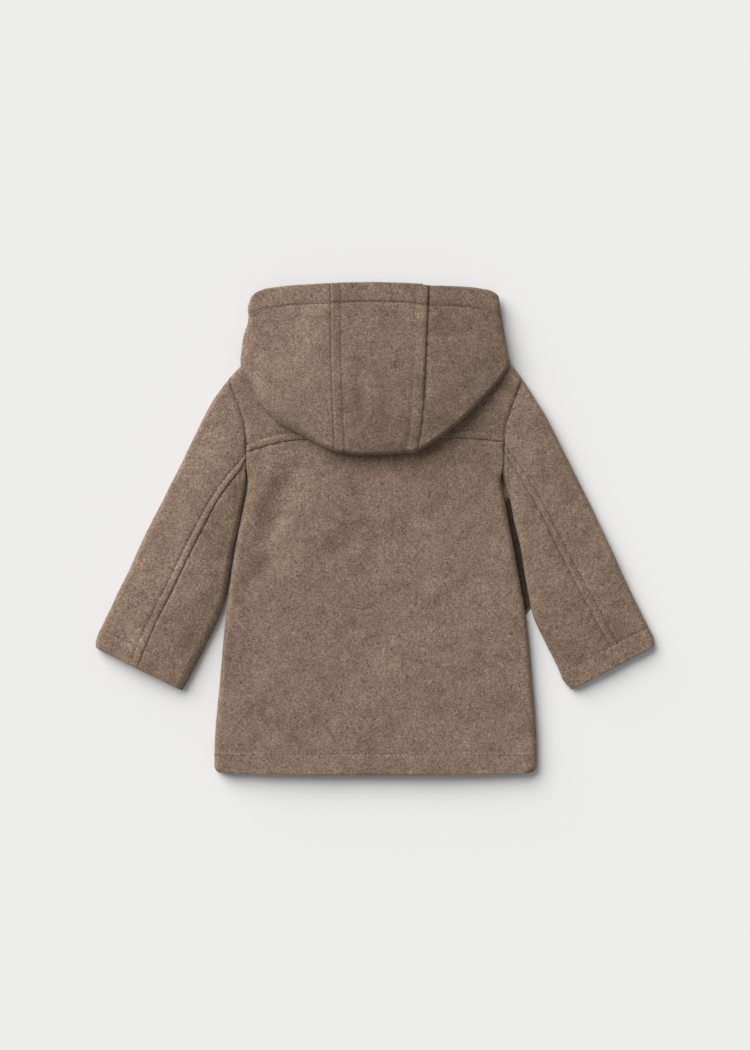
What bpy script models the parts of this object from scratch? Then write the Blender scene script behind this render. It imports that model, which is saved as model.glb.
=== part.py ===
"""A small child's hooded wool coat, laid flat with its front down and its hood folded down over the back.

Metres, +Z up. The coat lies on the plane z = 0. +X points to the wearer's right, +Y from the hem to the hood's
edge, and the origin is under the middle of the whole coat. Each cut piece is one closed wall of cloth.
"""

import bmesh
import bpy
import numpy as np

# Cloth
CLOTH = 0.004  # felted wool with its lining
SEAM_GAP = 0.0003  # between two pieces that are sewn together
LAYER_GAP = 0.0003  # between two layers that lie on each other
FOLD_LIP = 0.0008  # height left standing at the very edge of a rolled-down layer
TURN_UP = 0.0008  # extra height where the hem and the cuffs are turned up
BAND_EASE = 0.0020  # half the width of the step at a turned band's edge
ROLL_SHARES = (0.0, 0.06, 0.2, 0.42, 0.7, 1.0)  # where a rounded edge has its rows, over its width
CORNER_SHARES = (0.0, 0.3, 0.65, 1.0)
RIM_TURN_UP = 0.0016  # extra thickness where the hood's edge is turned

# Body
HEM_Y = -0.2586
HEM_RISE = 0.0022  # the hem's corners sit higher than its middle
HEM_CORNER = 0.007  # radius of the hem's two corners
HEM_DEPTH = 0.0230
HEM_ROLL = 0.0040
HEM_THINNING = 0.4  # share of the cloth that rounds away at the hem's edge
UNDERARM_Y = 0.0520
BODY_HEIGHT = 0.0114  # top of the back at its sides
BODY_CROWN = 0.0016  # how much higher the middle of the back lies
BODY_ROLL = 0.0090  # width of the rounded side fold
FRONT_THINNING = 0.35  # share of the cloth that rounds away at the front's folded side
SIDE_SEAM_Z = CLOTH + LAYER_GAP
BODY_SIDES = (  # y, half width on the left, half width on the right
    (0.0777, 0.1344, 0.1318),
    (0.0462, 0.1347, 0.1327),
    (0.0200, 0.1397, 0.1379),
    (-0.0168, 0.1469, 0.1449),
    (-0.0536, 0.1528, 0.1517),
    (-0.1008, 0.1586, 0.1596),
    (-0.1638, 0.1641, 0.1654),
    (-0.2152, 0.1688, 0.1693),
    (-0.2586, 0.1697, 0.1698),
)
YOKE_SEAM = (  # x, y from the left armhole to the right one
    (-0.1334, 0.0809),
    (-0.1097, 0.0879),
    (-0.0777, 0.0935),
    (0.0000, 0.0957),
    (0.0887, 0.0950),
    (0.1339, 0.0914),
)
SHOULDER_TIP = (0.1539, 0.1586)
SHOULDER_EDGE = ((0.1480, 0.1649), (0.1420, 0.1712), (0.0709, 0.1943))  # x, y from the tip to the neck's side
NECKLINE = ((0.0560, 0.1888), (0.0300, 0.1848), (0.0000, 0.1838))  # x, y from the neck's side to its middle
ARMHOLE_DIP = 0.0087  # how far the armhole curves in from its straight chord
DIP_POWER = 1.2
LAP_HALF = 0.0300  # the fronts lap over each other by twice this
LAP_RAMP = 0.0180  # where the upper front comes down beside the lap
LAP_COLUMNS = (0.6, 0.3)  # shares of the ramp where the grid has columns
WEB_ENDS = (0.0470, -0.0830)  # y where the right front shows in the gap beside the sleeve
WEB_GAP = 0.0012

# Sleeves
SLEEVE_LENGTH = 0.3000
SLEEVE_HEIGHT = 0.0102
SLEEVE_CROWN = 0.0036  # how much higher the middle of the sleeve lies
ARMHOLE_CROWN = 0.0016  # the same at the armhole
CROWN_RISE = 0.25  # share of the sleeve's length over which its crown fills out
CUFF_DEPTH = 0.0220
OUTER_ROLL = 0.0090  # width of the rounded fold along the sleeve's outer side, seen from above
OUTER_FOLD_Z = 0.0051
INNER_ROLL = 0.0140  # and of the softer one along its inner side
INNER_FOLD_Z = 0.0046
INNER_SLANT = 4 / 3  # above 1, the inner fold falls more like a slope than like a round
UNDER_ROLL = 0.0050
UNDER_SEAM_SHARE = 0.40  # place of the second seam, on the hidden underside
BOW_REACH = 0.32  # share of the sleeve's length over which the armhole's curve fades
SLEEVE_GAP = 0.0008  # between the armhole's two sides
SLEEVE_SEAM_GAP = 0.0005  # measured along a ring, which the seam crosses askew
SLEEVE_STATIONS = [0.0, 0.04, 0.1, 0.2, 0.3, 0.4, 0.5, 0.6, 0.7, 0.8, 0.96, 1.0]  # shares of its length with a ring
SLEEVE_LEFT = (  # outer x, outer y, inner x, inner y, share of the width where the seam runs
    (-0.1539, 0.1586, -0.1360, 0.0520, 0.800),
    (-0.1701, 0.1370, -0.1386, 0.0305, 0.725),
    (-0.1874, 0.1040, -0.1435, 0.0053, 0.639),
    (-0.2053, 0.0672, -0.1487, -0.0199, 0.577),
    (-0.2252, 0.0273, -0.1527, -0.0441, 0.531),
    (-0.2441, -0.0095, -0.1567, -0.0683, 0.497),
    (-0.2604, -0.0457, -0.1638, -0.0924, 0.475),
    (-0.2767, -0.0793, -0.1764, -0.1192, 0.468),
    (-0.2903, -0.1071, -0.1890, -0.1444, 0.474),
    (-0.2940, -0.1176, -0.1974, -0.1601, 0.484),
    (-0.2945, -0.1250, -0.2032, -0.1701, 0.490),
)
SLEEVE_RIGHT = (
    (0.1539, 0.1586, 0.1346, 0.0520, 0.720),
    (0.1691, 0.1355, 0.1419, 0.0305, 0.690),
    (0.1864, 0.1040, 0.1465, 0.0063, 0.640),
    (0.2053, 0.0672, 0.1526, -0.0179, 0.595),
    (0.2252, 0.0278, 0.1565, -0.0431, 0.553),
    (0.2431, -0.0100, 0.1610, -0.0683, 0.512),
    (0.2594, -0.0457, 0.1664, -0.0924, 0.466),
    (0.2767, -0.0819, 0.1801, -0.1218, 0.446),
    (0.2898, -0.1076, 0.1901, -0.1417, 0.435),
    (0.2935, -0.1166, 0.1974, -0.1586, 0.418),
    (0.2929, -0.1239, 0.2063, -0.1691, 0.404),
)

# Hood
HOOD_ROLL = 0.0080  # width of the rounded fold all round the hood
HOOD_SEAM_Z = 0.0050  # height of the side fold's underside beyond the shoulders
HOOD_FOLD_DEPTH = 0.0040  # the hidden layers' height at the hood's edge, over the yoke
HOOD_CLEAR = 0.0025  # kept clear between the hidden layers and the hood over them
YOKE_CLEAR = 0.0012  # and between them and the yoke
RAMP_CLEAR = 6.0  # times HOOD_CLEAR, where the hood's edge climbs onto the yoke
HOOD_HALF = 0.1400
HOOD_ROOF = (  # y, height of the hood's top along its middle, how much lower it is at its sides
    (0.2600, 0.0170, 0.0045),
    (0.2380, 0.0200, 0.0065),
    (0.2000, 0.0265, 0.0095),
    (0.1600, 0.0320, 0.0120),
    (0.1250, 0.0340, 0.0120),
    (0.0950, 0.0325, 0.0110),
    (0.0770, 0.0300, 0.0090),
)
RIM_DEPTH = 0.0210
SHOULDER_RAMP = (0.1960, 0.1480)  # y where the hood's edge climbs from the ground onto the yoke
RIM_LEFT = (  # x, y along the hood's turned edge, from the seam outwards
    (-0.0473, 0.2582),
    (-0.0898, 0.2558),
    (-0.1087, 0.2535),
    (-0.1171, 0.2519),
    (-0.1255, 0.2483),
    (-0.1310, 0.2435),
)
SIDE_LEFT = (  # x, y down the side fold, with the notch below the turned edge
    (-0.1310, 0.2435),
    (-0.1337, 0.2352),
    (-0.1344, 0.2289),
    (-0.1329, 0.2212),
    (-0.1345, 0.2160),
    (-0.1391, 0.2016),
    (-0.1421, 0.1785),
)
LOWER_LEFT = (  # x, y along the hood's lower fold, from the seam outwards
    (-0.0425, 0.0804),
    (-0.0583, 0.0876),
    (-0.0793, 0.0992),
    (-0.1024, 0.1124),
    (-0.1213, 0.1334),
    (-0.1330, 0.1560),
    (-0.1405, 0.1680),
    (-0.1421, 0.1785),
)
SEAM_LEFT = ((-0.0473, 0.2582), (-0.0462, 0.1775), (-0.0425, 0.0804))
RIM_RIGHT = (
    (0.0562, 0.2556),
    (0.0782, 0.2552),
    (0.0992, 0.2541),
    (0.1097, 0.2528),
    (0.1202, 0.2508),
    (0.1265, 0.2476),
    (0.1299, 0.2436),
)
SIDE_RIGHT = (
    (0.1299, 0.2436),
    (0.1307, 0.2384),
    (0.1318, 0.2289),
    (0.1339, 0.2142),
    (0.1370, 0.1985),
    (0.1406, 0.1785),
)
LOWER_RIGHT = (
    (0.0440, 0.0806),
    (0.0572, 0.0882),
    (0.0736, 0.1000),
    (0.0887, 0.1124),
    (0.1097, 0.1334),
    (0.1261, 0.1517),
    (0.1378, 0.1670),
    (0.1406, 0.1785),
)
SEAM_RIGHT = (
    (0.0562, 0.2556),
    (0.0541, 0.2194),
    (0.0530, 0.1932),
    (0.0514, 0.1617),
    (0.0488, 0.1113),
    (0.0440, 0.0806),
)
RIM_CENTRE = (
    (-0.0473, 0.2582),
    (-0.0200, 0.2590),
    (0.0047, 0.2591),
    (0.0450, 0.2576),
    (0.0505, 0.2560),
    (0.0562, 0.2556),
)
LOWER_CENTRE = ((-0.0425, 0.0804), (-0.0200, 0.0776), (0.0100, 0.0778), (0.0440, 0.0806))
MOUTH = (  # x, y along the hidden lower edge of the hood's mouth
    (-0.1310, 0.2420),
    (-0.1120, 0.2280),
    (-0.0710, 0.2110),
    (0.0000, 0.2010),
    (0.0710, 0.2110),
    (0.1120, 0.2280),
    (0.1299, 0.2424),
)
MOUTH_ROWS = (0.25, 0.5, 0.75, 1.0)  # shares of the way from the neck to the mouth
FOLD_ROWS = (0.0, 0.02, 0.05, 0.1, 0.16, 0.3, 0.45, 0.6, 0.75, 0.87, 0.94)  # and from the hood's fold to the neck
NECK_STEPS = (0.0016, 0.0030)  # rows just beyond the neck, where the layers come down to the ground
NECK_SPAN = 0.1416
FOLD_ENDS = (0.0, 0.012, 0.028, 0.05)  # shares of its width where its ends have columns
FOLD_THINNING = 0.3  # share of its edge's height that rounds away underneath
FOLD_INSET = 2.2  # times HOOD_CLEAR, from the hood's wall
FOLD_END_Y = 0.1690
FOLD_MIDDLE = (0.09, 0.91, 15)  # first share, last share and count of the columns between the ends
FOLD_DROP = 0.0006  # its roof lies this much lower than the hood's own fold

# Grids
LINE_POINTS = 40
CORNER_POINTS = 9
SIDE_START = 0.02  # above the hem's corner, where the side's even points begin
JOIN_POWER = 4  # how quickly the shift of a line's end dies out along it
BACK_COLUMNS = 9
BACK_ROWS = 9
YOKE_COLUMNS = 21
YOKE_ROWS = 4
FRONT_EDGE = (0.0, 0.3, 1.0)  # columns beside the side seam, times the cloth's thickness
FRONT_COLUMNS = 4
FRONT_ROWS = 17
WEB_EASES = (0.010, 0.004)  # lengths over which the right front's shown edge comes and goes
TOP_COLUMNS = 6
UNDER_COLUMNS = 4
FOLD_ANGLES = (90, 68, 46, 24, 0)  # degrees round the sleeve's fold, from its top
UNDER_ANGLES = (-30, -60, -90)
HOOD_COLUMNS = 6
HOOD_ROWS = 7
STRIP_COLUMNS = 9
SHARP_ANGLE = 50  # degrees

WOOL = (0.209, 0.153, 0.113, 1.0)  # linear colour of the heathered brown wool
WOOL_ROUGHNESS = 0.92
SHADES = {
    "back_panel": 1.0,
    "back_yoke": 0.98,
    "front_left": 0.95,
    "front_right": 0.95,
    "sleeve_left_top": 1.04,
    "sleeve_left_under": 0.98,
    "sleeve_right_top": 1.0,
    "sleeve_right_under": 0.97,
    "hood_left": 1.0,
    "hood_centre": 0.98,
    "hood_right": 0.96,
    "hood_fold": 0.9,
}


def smooth_line(points, steps=24):
    """A smooth curve through a few points, each stretch sampled steps times."""
    points = np.array(points, float)
    first = 2 * points[0] - points[1]
    last = 2 * points[-1] - points[-2]
    guide = np.vstack([first, points, last])
    t = np.linspace(0, 1, steps, endpoint=False)[:, None]
    line = []
    for a, b, c, d in zip(guide, guide[1:], guide[2:], guide[3:]):
        line.append(0.5 * (2 * b + (c - a) * t + (2 * a - 5 * b + 4 * c - d) * t**2 + (3 * b - a - 3 * c + d) * t**3))
    line.append(points[-1:])
    return np.vstack(line)


def run_length(line):
    """How far along a line each of its points is."""
    return np.concatenate([[0.0], np.cumsum(np.linalg.norm(np.diff(line, axis=0), axis=1))])


def at_shares(line, shares):
    """The points at these shares of a line's length."""
    run = run_length(line)
    wanted = np.asarray(shares) * run[-1]
    return np.column_stack([np.interp(wanted, run, line[:, k]) for k in range(2)])


def spaced(length, near, far, count):
    """Shares of a length: these distances from its start and its end, and an even count between."""
    middle = np.linspace(near[-1], length - far[-1], count + 2)[1:-1]
    return np.concatenate([near, middle, length - np.array(far[::-1])]) / length


def rounded_steps(width, shares=ROLL_SHARES):
    """Distances from an edge that crowd together where it is rounded."""
    return [width * share for share in shares]


def band_steps(depth):
    """The two rows at the step of a turned band."""
    return [depth - BAND_EASE, depth + BAND_EASE]


def patch(start, end, left, right, across, along):
    """A grid filled between four lines: start and end run across, left and right run along."""
    s = at_shares(start, across)[None]
    e = at_shares(end, across)[None]
    lo = at_shares(left, along)[:, None]
    hi = at_shares(right, along)[:, None]
    u = np.asarray(across)[None, :, None]
    v = np.asarray(along)[:, None, None]
    corners = (1 - u) * (1 - v) * s[:, :1] + u * (1 - v) * s[:, -1:] + (1 - u) * v * e[:, :1] + u * v * e[:, -1:]
    return (1 - v) * s + v * e + (1 - u) * lo + u * hi - corners


def distance(grid, line):
    """How far each point of a grid is from a line."""
    a = line[:-1]
    step = line[1:] - a
    size = np.maximum((step**2).sum(1), 1e-12)
    p = grid.reshape(-1, 1, 2)
    t = np.clip(((p - a) * step).sum(2) / size, 0, 1)
    return np.linalg.norm(p - a - t[..., None] * step, axis=2).min(1).reshape(grid.shape[:-1])


def ease(value, start, end):
    """0 at start, 1 at end, smooth between."""
    t = np.clip((value - start) / (end - start), 0, 1)
    return t * t * (3 - 2 * t)


def rolled(top, low, depth, radius):
    """The height of a face that rolls down from top to low as depth falls from radius to 0."""
    q = np.clip(depth / radius, 0, 1)
    return low + (top - low) * np.sqrt(1 - (1 - q) ** 2)


def with_height(grid, height):
    """Three coordinates from a flat grid and its heights."""
    return np.concatenate([grid, np.broadcast_to(height, grid.shape[:-1])[..., None]], axis=2)


def new_material(name):
    """The wool, a little lighter or darker on each piece."""
    material = bpy.data.materials.new(name + "_wool")
    material.use_nodes = True
    shader = material.node_tree.nodes["Principled BSDF"]
    shader.inputs["Base Color"].default_value = tuple(SHADES[name] * c for c in WOOL[:3]) + (1.0,)
    shader.inputs["Roughness"].default_value = WOOL_ROUGHNESS
    shader.inputs["Metallic"].default_value = 0.0
    return material


def wall(name, outer, inner):
    """A closed piece of cloth between two grids of the same shape."""
    rows, columns = outer.shape[:2]
    bm = bmesh.new()
    face_a = [[bm.verts.new(p) for p in row] for row in outer]
    face_b = [[bm.verts.new(p) for p in row] for row in inner]
    for i in range(rows - 1):
        for j in range(columns - 1):
            bm.faces.new((face_a[i][j], face_a[i][j + 1], face_a[i + 1][j + 1], face_a[i + 1][j]))
            bm.faces.new((face_b[i][j], face_b[i + 1][j], face_b[i + 1][j + 1], face_b[i][j + 1]))
    ring = [(0, j) for j in range(columns - 1)]
    ring += [(i, columns - 1) for i in range(rows - 1)]
    ring += [(rows - 1, j) for j in range(columns - 1, 0, -1)]
    ring += [(i, 0) for i in range(rows - 1, 0, -1)]
    for (i, j), (k, m) in zip(ring, ring[1:] + ring[:1]):
        bm.faces.new((face_a[i][j], face_b[i][j], face_b[k][m], face_a[k][m]))
    bmesh.ops.recalc_face_normals(bm, faces=bm.faces)
    bmesh.ops.triangulate(bm, faces=bm.faces)
    mesh = bpy.data.meshes.new(name)
    bm.to_mesh(mesh)
    bm.free()
    mesh.shade_smooth()
    mesh.set_sharp_from_angle(angle=np.radians(SHARP_ANGLE))
    mesh.materials.append(new_material(name))
    piece = bpy.data.objects.new(name, mesh)
    bpy.context.scene.collection.objects.link(piece)
    return piece


# Outlines ---------------------------------------------------------------------------------------------------


def body_half(y, side):
    """Half the body's width at y, with the hem's corner rounded off."""
    table = np.array(BODY_SIDES)
    line = smooth_line(table[:, [0, 1 if side < 0 else 2]])
    half = np.interp(-np.asarray(y), -line[:, 0], line[:, 1])
    above = np.clip(np.asarray(y) - hem_line(side * half), 0, HEM_CORNER)
    return half - HEM_CORNER + np.sqrt(HEM_CORNER**2 - (HEM_CORNER - above) ** 2)


def hem_line(x):
    return HEM_Y + HEM_RISE * (np.asarray(x) / BODY_SIDES[-1][1]) ** 2


def side_edge(side, top=UNDERARM_Y):
    """The body's side from the hem to the underarm."""
    corner = HEM_Y + HEM_RISE
    bend = corner + HEM_CORNER * np.linspace(0, 1, CORNER_POINTS) ** 2
    y = np.concatenate([bend, np.linspace(corner + SIDE_START, top, LINE_POINTS)])
    return np.column_stack([side * body_half(y, side), y])


def armhole(side):
    """The armhole seam, from the underarm to the shoulder's tip."""
    sections = SLEEVE_LEFT if side < 0 else SLEEVE_RIGHT
    low = np.array(sections[0][2:4])
    high = np.array(sections[0][0:2])
    t = np.linspace(0, 1, LINE_POINTS)[:, None]
    chord = high - low
    inward = np.array([-side * chord[1], side * chord[0]]) / np.linalg.norm(chord)
    return low + chord * t + inward * ARMHOLE_DIP * armhole_dip(1 - t)


def armhole_dip(share):
    """The armhole's depth at a share of its length from the shoulder's tip."""
    return np.sin(np.pi * np.clip(share, 0, 1)) ** DIP_POWER


def shoulder_line(side):
    """From the shoulder's tip to the side of the neck."""
    points = [SHOULDER_TIP, *SHOULDER_EDGE]
    return smooth_line([(side * x, y) for x, y in points])


def neckline(side):
    """From the side of the neck to its middle."""
    points = [SHOULDER_EDGE[-1], *NECKLINE]
    return smooth_line([(side * x, y) for x, y in points])


def top_line():
    """The body's whole upper edge, from the left shoulder's tip to the right one."""
    right = np.vstack([shoulder_line(1), neckline(1)[1:]])
    left = right * (-1, 1)
    return np.vstack([left, right[::-1][1:]])


def body_top(grid):
    """The height of the back's outer face, which rolls down at the sides and the shoulders."""
    x, y = grid[..., 0], grid[..., 1]
    half = np.where(x < 0, body_half(y, -1), body_half(y, 1))
    height = BODY_HEIGHT + BODY_CROWN * np.clip(1 - (x / half) ** 2, 0, 1)
    return height + TURN_UP * ease(hem_line(x) + HEM_DEPTH - y, -BAND_EASE, BAND_EASE)


def body_depth(grid):
    """How far inside the folded sides and shoulders a point of the body lies."""
    edges = [distance(grid, side_edge(side)) for side in (-1, 1)]
    edges += [distance(grid, shoulder_line(side)) for side in (-1, 1)]
    return np.minimum.reduce(edges)


# Body -------------------------------------------------------------------------------------------------------


def back_faces(grid):
    """The outer and inner faces of the back, over any flat grid inside its outline."""
    top = body_top(grid)
    depth = body_depth(grid)
    outer = rolled(top, SIDE_SEAM_Z + FOLD_LIP, depth, BODY_ROLL)
    inner = rolled(top - CLOTH, SIDE_SEAM_Z, depth - CLOTH, BODY_ROLL - CLOTH)
    hem = np.clip((grid[..., 1] - hem_line(grid[..., 0])) / HEM_ROLL, 0, 1)
    outer = outer - HEM_THINNING * CLOTH * (1 - np.sqrt(1 - (1 - hem) ** 2)) * ease(depth, 0, BODY_ROLL)
    return with_height(grid, outer), with_height(grid, inner)


def back_panel():
    x = np.linspace(-1, 1, 2 * LINE_POINTS)
    start = np.where(x < 0, body_half(HEM_Y + HEM_RISE, -1), body_half(HEM_Y + HEM_RISE, 1)) * x
    hem = np.column_stack([start, hem_line(start)])
    seam = smooth_line(YOKE_SEAM) - (0, SEAM_GAP / 2)
    left = np.vstack([side_edge(-1), armhole_part(-1, UNDERARM_Y, seam[0, 1])[1:]])
    right = np.vstack([side_edge(1), armhole_part(1, UNDERARM_Y, seam[-1, 1])[1:]])
    seam = joined(seam, left[-1], right[-1])
    hem = joined(hem, left[0], right[0])
    roll = rounded_steps(BODY_ROLL)
    across = spaced(run_length(seam)[-1], roll, roll, BACK_COLUMNS)
    near = rounded_steps(HEM_CORNER, CORNER_SHARES) + band_steps(HEM_DEPTH)
    along = spaced(run_length(left)[-1], near, [0.0], BACK_ROWS)
    return wall("back_panel", *back_faces(patch(hem, seam, left, right, across, along)))


def armhole_part(side, start, stop):
    """The body's side of the armhole between two heights on the plan."""
    line = armhole(side) - (side * SLEEVE_GAP, 0)
    y = np.linspace(start, stop, LINE_POINTS)
    return np.column_stack([np.interp(y, line[:, 1], line[:, 0]), y])


def joined(line, first, last):
    """The same line with its ends put exactly on two corners."""
    t = np.linspace(0, 1, len(line))[:, None]
    return line + (1 - t) ** JOIN_POWER * (first - line[0]) + t**JOIN_POWER * (last - line[-1])


def back_yoke():
    seam = smooth_line(YOKE_SEAM) + (0, SEAM_GAP / 2)
    left = armhole_part(-1, seam[0, 1], SHOULDER_TIP[1])
    right = armhole_part(1, seam[-1, 1], SHOULDER_TIP[1])
    top = joined(top_line(), left[-1], right[-1])
    seam = joined(seam, left[0], right[0])
    along = spaced(run_length(left)[-1], [0.0], rounded_steps(BODY_ROLL), YOKE_ROWS)
    grid = patch(seam, top, left, right, np.linspace(0, 1, YOKE_COLUMNS), along)
    return wall("back_yoke", *back_faces(grid))


def top_y(x):
    """The height on the plan of the body's upper edge at x."""
    line = top_line()
    return np.interp(x, line[:, 0], line[:, 1])


def web_edge(edge):
    """The right front's edge, which shows in the gap beside the sleeve."""
    table = np.array(SLEEVE_RIGHT)
    sleeve = smooth_line(table[:, 2:4])
    reach = np.interp(-edge[:, 1], -sleeve[:, 1], sleeve[:, 0]) - WEB_GAP
    top, low = WEB_ENDS
    show = ease(edge[:, 1], top, top - WEB_EASES[0]) * ease(edge[:, 1], low - WEB_EASES[1], low)
    return edge[:, 0] + show * np.maximum(reach - edge[:, 0], 0)


def front(name, side):
    """A front, from its side seam across to the far edge of the lap."""
    outer = np.vstack([side_edge(side), (armhole(side) - (side * SLEEVE_GAP, 0))[1:]])
    if side > 0:
        outer[:, 0] = web_edge(outer)
    ramp = side * (LAP_HALF + LAP_RAMP)
    top = np.vstack([shoulder_line(side), neckline(side)[1:]])
    top = top[top[:, 0] * side > LAP_HALF + LAP_RAMP]
    edge = np.column_stack([np.full(2, ramp), [hem_line(ramp), top_y(ramp)]])
    hem_x = np.linspace(outer[0, 0], ramp, LINE_POINTS)
    hem = joined(np.column_stack([hem_x, hem_line(hem_x)]), outer[0], edge[0])
    top = joined(top, outer[-1], edge[-1])
    along = spaced(run_length(outer)[-1], rounded_steps(HEM_CORNER, CORNER_SHARES), [0.0], FRONT_ROWS)
    across = spaced(run_length(hem)[-1], [share * CLOTH for share in FRONT_EDGE], [0.0], FRONT_COLUMNS)
    grid = patch(hem, top, outer, edge, across, along)
    for share in LAP_COLUMNS:
        x = side * (LAP_HALF + LAP_RAMP * share)
        grid = with_column(grid, x, along)
    for x in (side * (LAP_HALF + SEAM_GAP), 0, -side * LAP_HALF):
        grid = with_column(grid, x, along)
    lift = np.zeros(grid.shape[:-1])
    if side > 0:
        lift = (CLOTH + LAYER_GAP) * ease(grid[..., 0], LAP_HALF + LAP_RAMP, LAP_HALF + SEAM_GAP)
    rim = np.clip(distance(grid, side_edge(side)) / CLOTH, 0, 1)
    under = FRONT_THINNING * CLOTH * (1 - np.sqrt(1 - (1 - rim) ** 2))
    shown = with_height(grid, CLOTH + lift)
    return wall(name, shown, with_height(grid, under + lift))


def with_column(grid, x, along):
    """The grid with one more column, straight up the front from its hem to its top."""
    y = hem_line(x) + along * (top_y(x) - hem_line(x))
    return np.concatenate([grid, np.column_stack([np.full(len(along), x), y])[:, None]], axis=1)


# Sleeves ----------------------------------------------------------------------------------------------------


def sleeve_plan(sections, side, stations):
    """Outer point, inner point, seam share and bow of each ring, at these shares of the sleeve's length."""
    table = np.array(sections)
    outer = smooth_line(table[:, 0:2])
    inner = smooth_line(table[:, 2:4])
    seam = np.interp(stations, np.linspace(0, 1, len(outer)), smooth_line(table[:, [4, 4]])[:, 0])
    place = np.linspace(0, 1, len(outer))
    o = np.column_stack([np.interp(stations, place, outer[:, k]) for k in range(2)])
    i = np.column_stack([np.interp(stations, place, inner[:, k]) for k in range(2)])
    chord = i - o
    inward = np.column_stack([side * chord[:, 1], -side * chord[:, 0]]) / np.linalg.norm(chord, axis=1)[:, None]
    bow = ARMHOLE_DIP * (1 - ease(np.asarray(stations), 0.0, BOW_REACH))
    return o, i, seam, inward, bow


def ring_points(width, seam_width, under_width, fold, rise, extra):
    """Distances from the fold and heights, outside and inside, from the top seam round the fold to the lower seam."""
    roll, middle, slant = fold
    flat_top = np.linspace(seam_width, roll, TOP_COLUMNS)[:-1]
    turn = np.radians(FOLD_ANGLES)
    turn_under = np.radians(UNDER_ANGLES)
    out = np.cos(turn).clip(0) ** slant
    up = np.sin(turn) ** slant
    flat_under = np.linspace(UNDER_ROLL, under_width, UNDER_COLUMNS)[1:]
    top = SLEEVE_HEIGHT + rise * np.sin(np.pi * flat_top / width)
    peak = SLEEVE_HEIGHT + rise * np.sin(np.pi * roll / width)
    outer_a = [*flat_top, *(roll * (1 - out))]
    outer_z = [*(top + extra), *(middle + (peak + extra - middle) * up)]
    inner_a = [*flat_top, *(roll - (roll - CLOTH) * out)]
    inner_z = [*(top - CLOTH), *(middle + (peak - CLOTH - middle) * up)]
    outer_a += [*(UNDER_ROLL * (1 - np.cos(turn_under))), *flat_under]
    outer_z += [*(middle * (1 + np.sin(turn_under))), *(0 * flat_under)]
    inner_a += [*(UNDER_ROLL - (UNDER_ROLL - CLOTH) * np.cos(turn_under)), *flat_under]
    inner_z += [*(middle + (middle - CLOTH) * np.sin(turn_under)), *(CLOTH + 0 * flat_under)]
    return [np.array(v) for v in (outer_a, outer_z, inner_a, inner_z)]


def sleeve_piece(name, sections, side, outer_fold):
    """A top sleeve round the outer fold, or an under sleeve round the underarm fold."""
    stations = SLEEVE_STATIONS + [1 - depth / SLEEVE_LENGTH for depth in band_steps(CUFF_DEPTH)]
    stations = np.sort(stations)
    o, i, seam, inward, bow = sleeve_plan(sections, side, stations)
    fold = (OUTER_ROLL, OUTER_FOLD_Z, 1.0) if outer_fold else (INNER_ROLL, INNER_FOLD_Z, INNER_SLANT)
    outer_rows, inner_rows = [], []
    for k, station in enumerate(stations):
        chord = i[k] - o[k]
        width = np.linalg.norm(chord)
        along = chord / width
        cuff = (1 - station) * SLEEVE_LENGTH - CUFF_DEPTH
        extra = TURN_UP * ease(cuff, BAND_EASE / 2, -BAND_EASE / 2)
        rise = ARMHOLE_CROWN + (SLEEVE_CROWN - ARMHOLE_CROWN) * ease(station, 0.0, CROWN_RISE)
        top_share, under_share = (seam[k], UNDER_SEAM_SHARE) if outer_fold else (1 - seam[k], 1 - UNDER_SEAM_SHARE)
        seam_width = width * top_share - SLEEVE_SEAM_GAP / 2
        under_width = width * under_share - SLEEVE_SEAM_GAP / 2
        a, z, b, y = ring_points(width, seam_width, under_width, fold, rise, extra)
        for rows, across, height in ((outer_rows, a, z), (inner_rows, b, y)):
            run = across if outer_fold else width - across
            dip = bow[k] * armhole_dip(run / width)
            flat = o[k] + along * run[:, None] + inward[k] * dip[:, None]
            rows.append(np.column_stack([flat, height]))
    return wall(name, np.array(outer_rows), np.array(inner_rows))


# Hood -------------------------------------------------------------------------------------------------------


def hood_roof(grid):
    """The height of the hood's top before its edges roll down."""
    table = np.array(HOOD_ROOF)
    middle = smooth_line(table[:, [0, 1]])
    sides = smooth_line(table[:, [0, 2]])
    height = np.interp(-grid[..., 1], -middle[:, 0], middle[:, 1])
    lower = np.interp(-grid[..., 1], -sides[:, 0], sides[:, 1])
    return height - lower * (grid[..., 0] / HOOD_HALF) ** 2


def hood_fold_line():
    """The fold all round the hood, from the left end of its turned edge to the right end."""
    left = smooth_line(SIDE_LEFT)
    lower_left = smooth_line(LOWER_LEFT)[::-1]
    lower_right = smooth_line(LOWER_RIGHT)
    right = smooth_line(SIDE_RIGHT)[::-1]
    return np.vstack([left, lower_left[1:], smooth_line(LOWER_CENTRE)[1:-1], lower_right, right[1:]])


def on_yoke(grid):
    """0 where the hood's edge lies on the ground, 1 where it lies on the yoke."""
    return ease(grid[..., 1], *SHOULDER_RAMP)


def yoke_face(grid):
    """The yoke's outer face, on and just outside its outline."""
    return rolled(body_top(grid), SIDE_SEAM_Z + FOLD_LIP, body_depth(grid), BODY_ROLL)


def hood_low(grid):
    """The height that the hood's upper layer rolls down to at its fold."""
    over_yoke = BODY_HEIGHT + BODY_CROWN + HOOD_CLEAR + HOOD_FOLD_DEPTH
    return HOOD_SEAM_Z + (over_yoke - HOOD_SEAM_Z) * on_yoke(grid)


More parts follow.
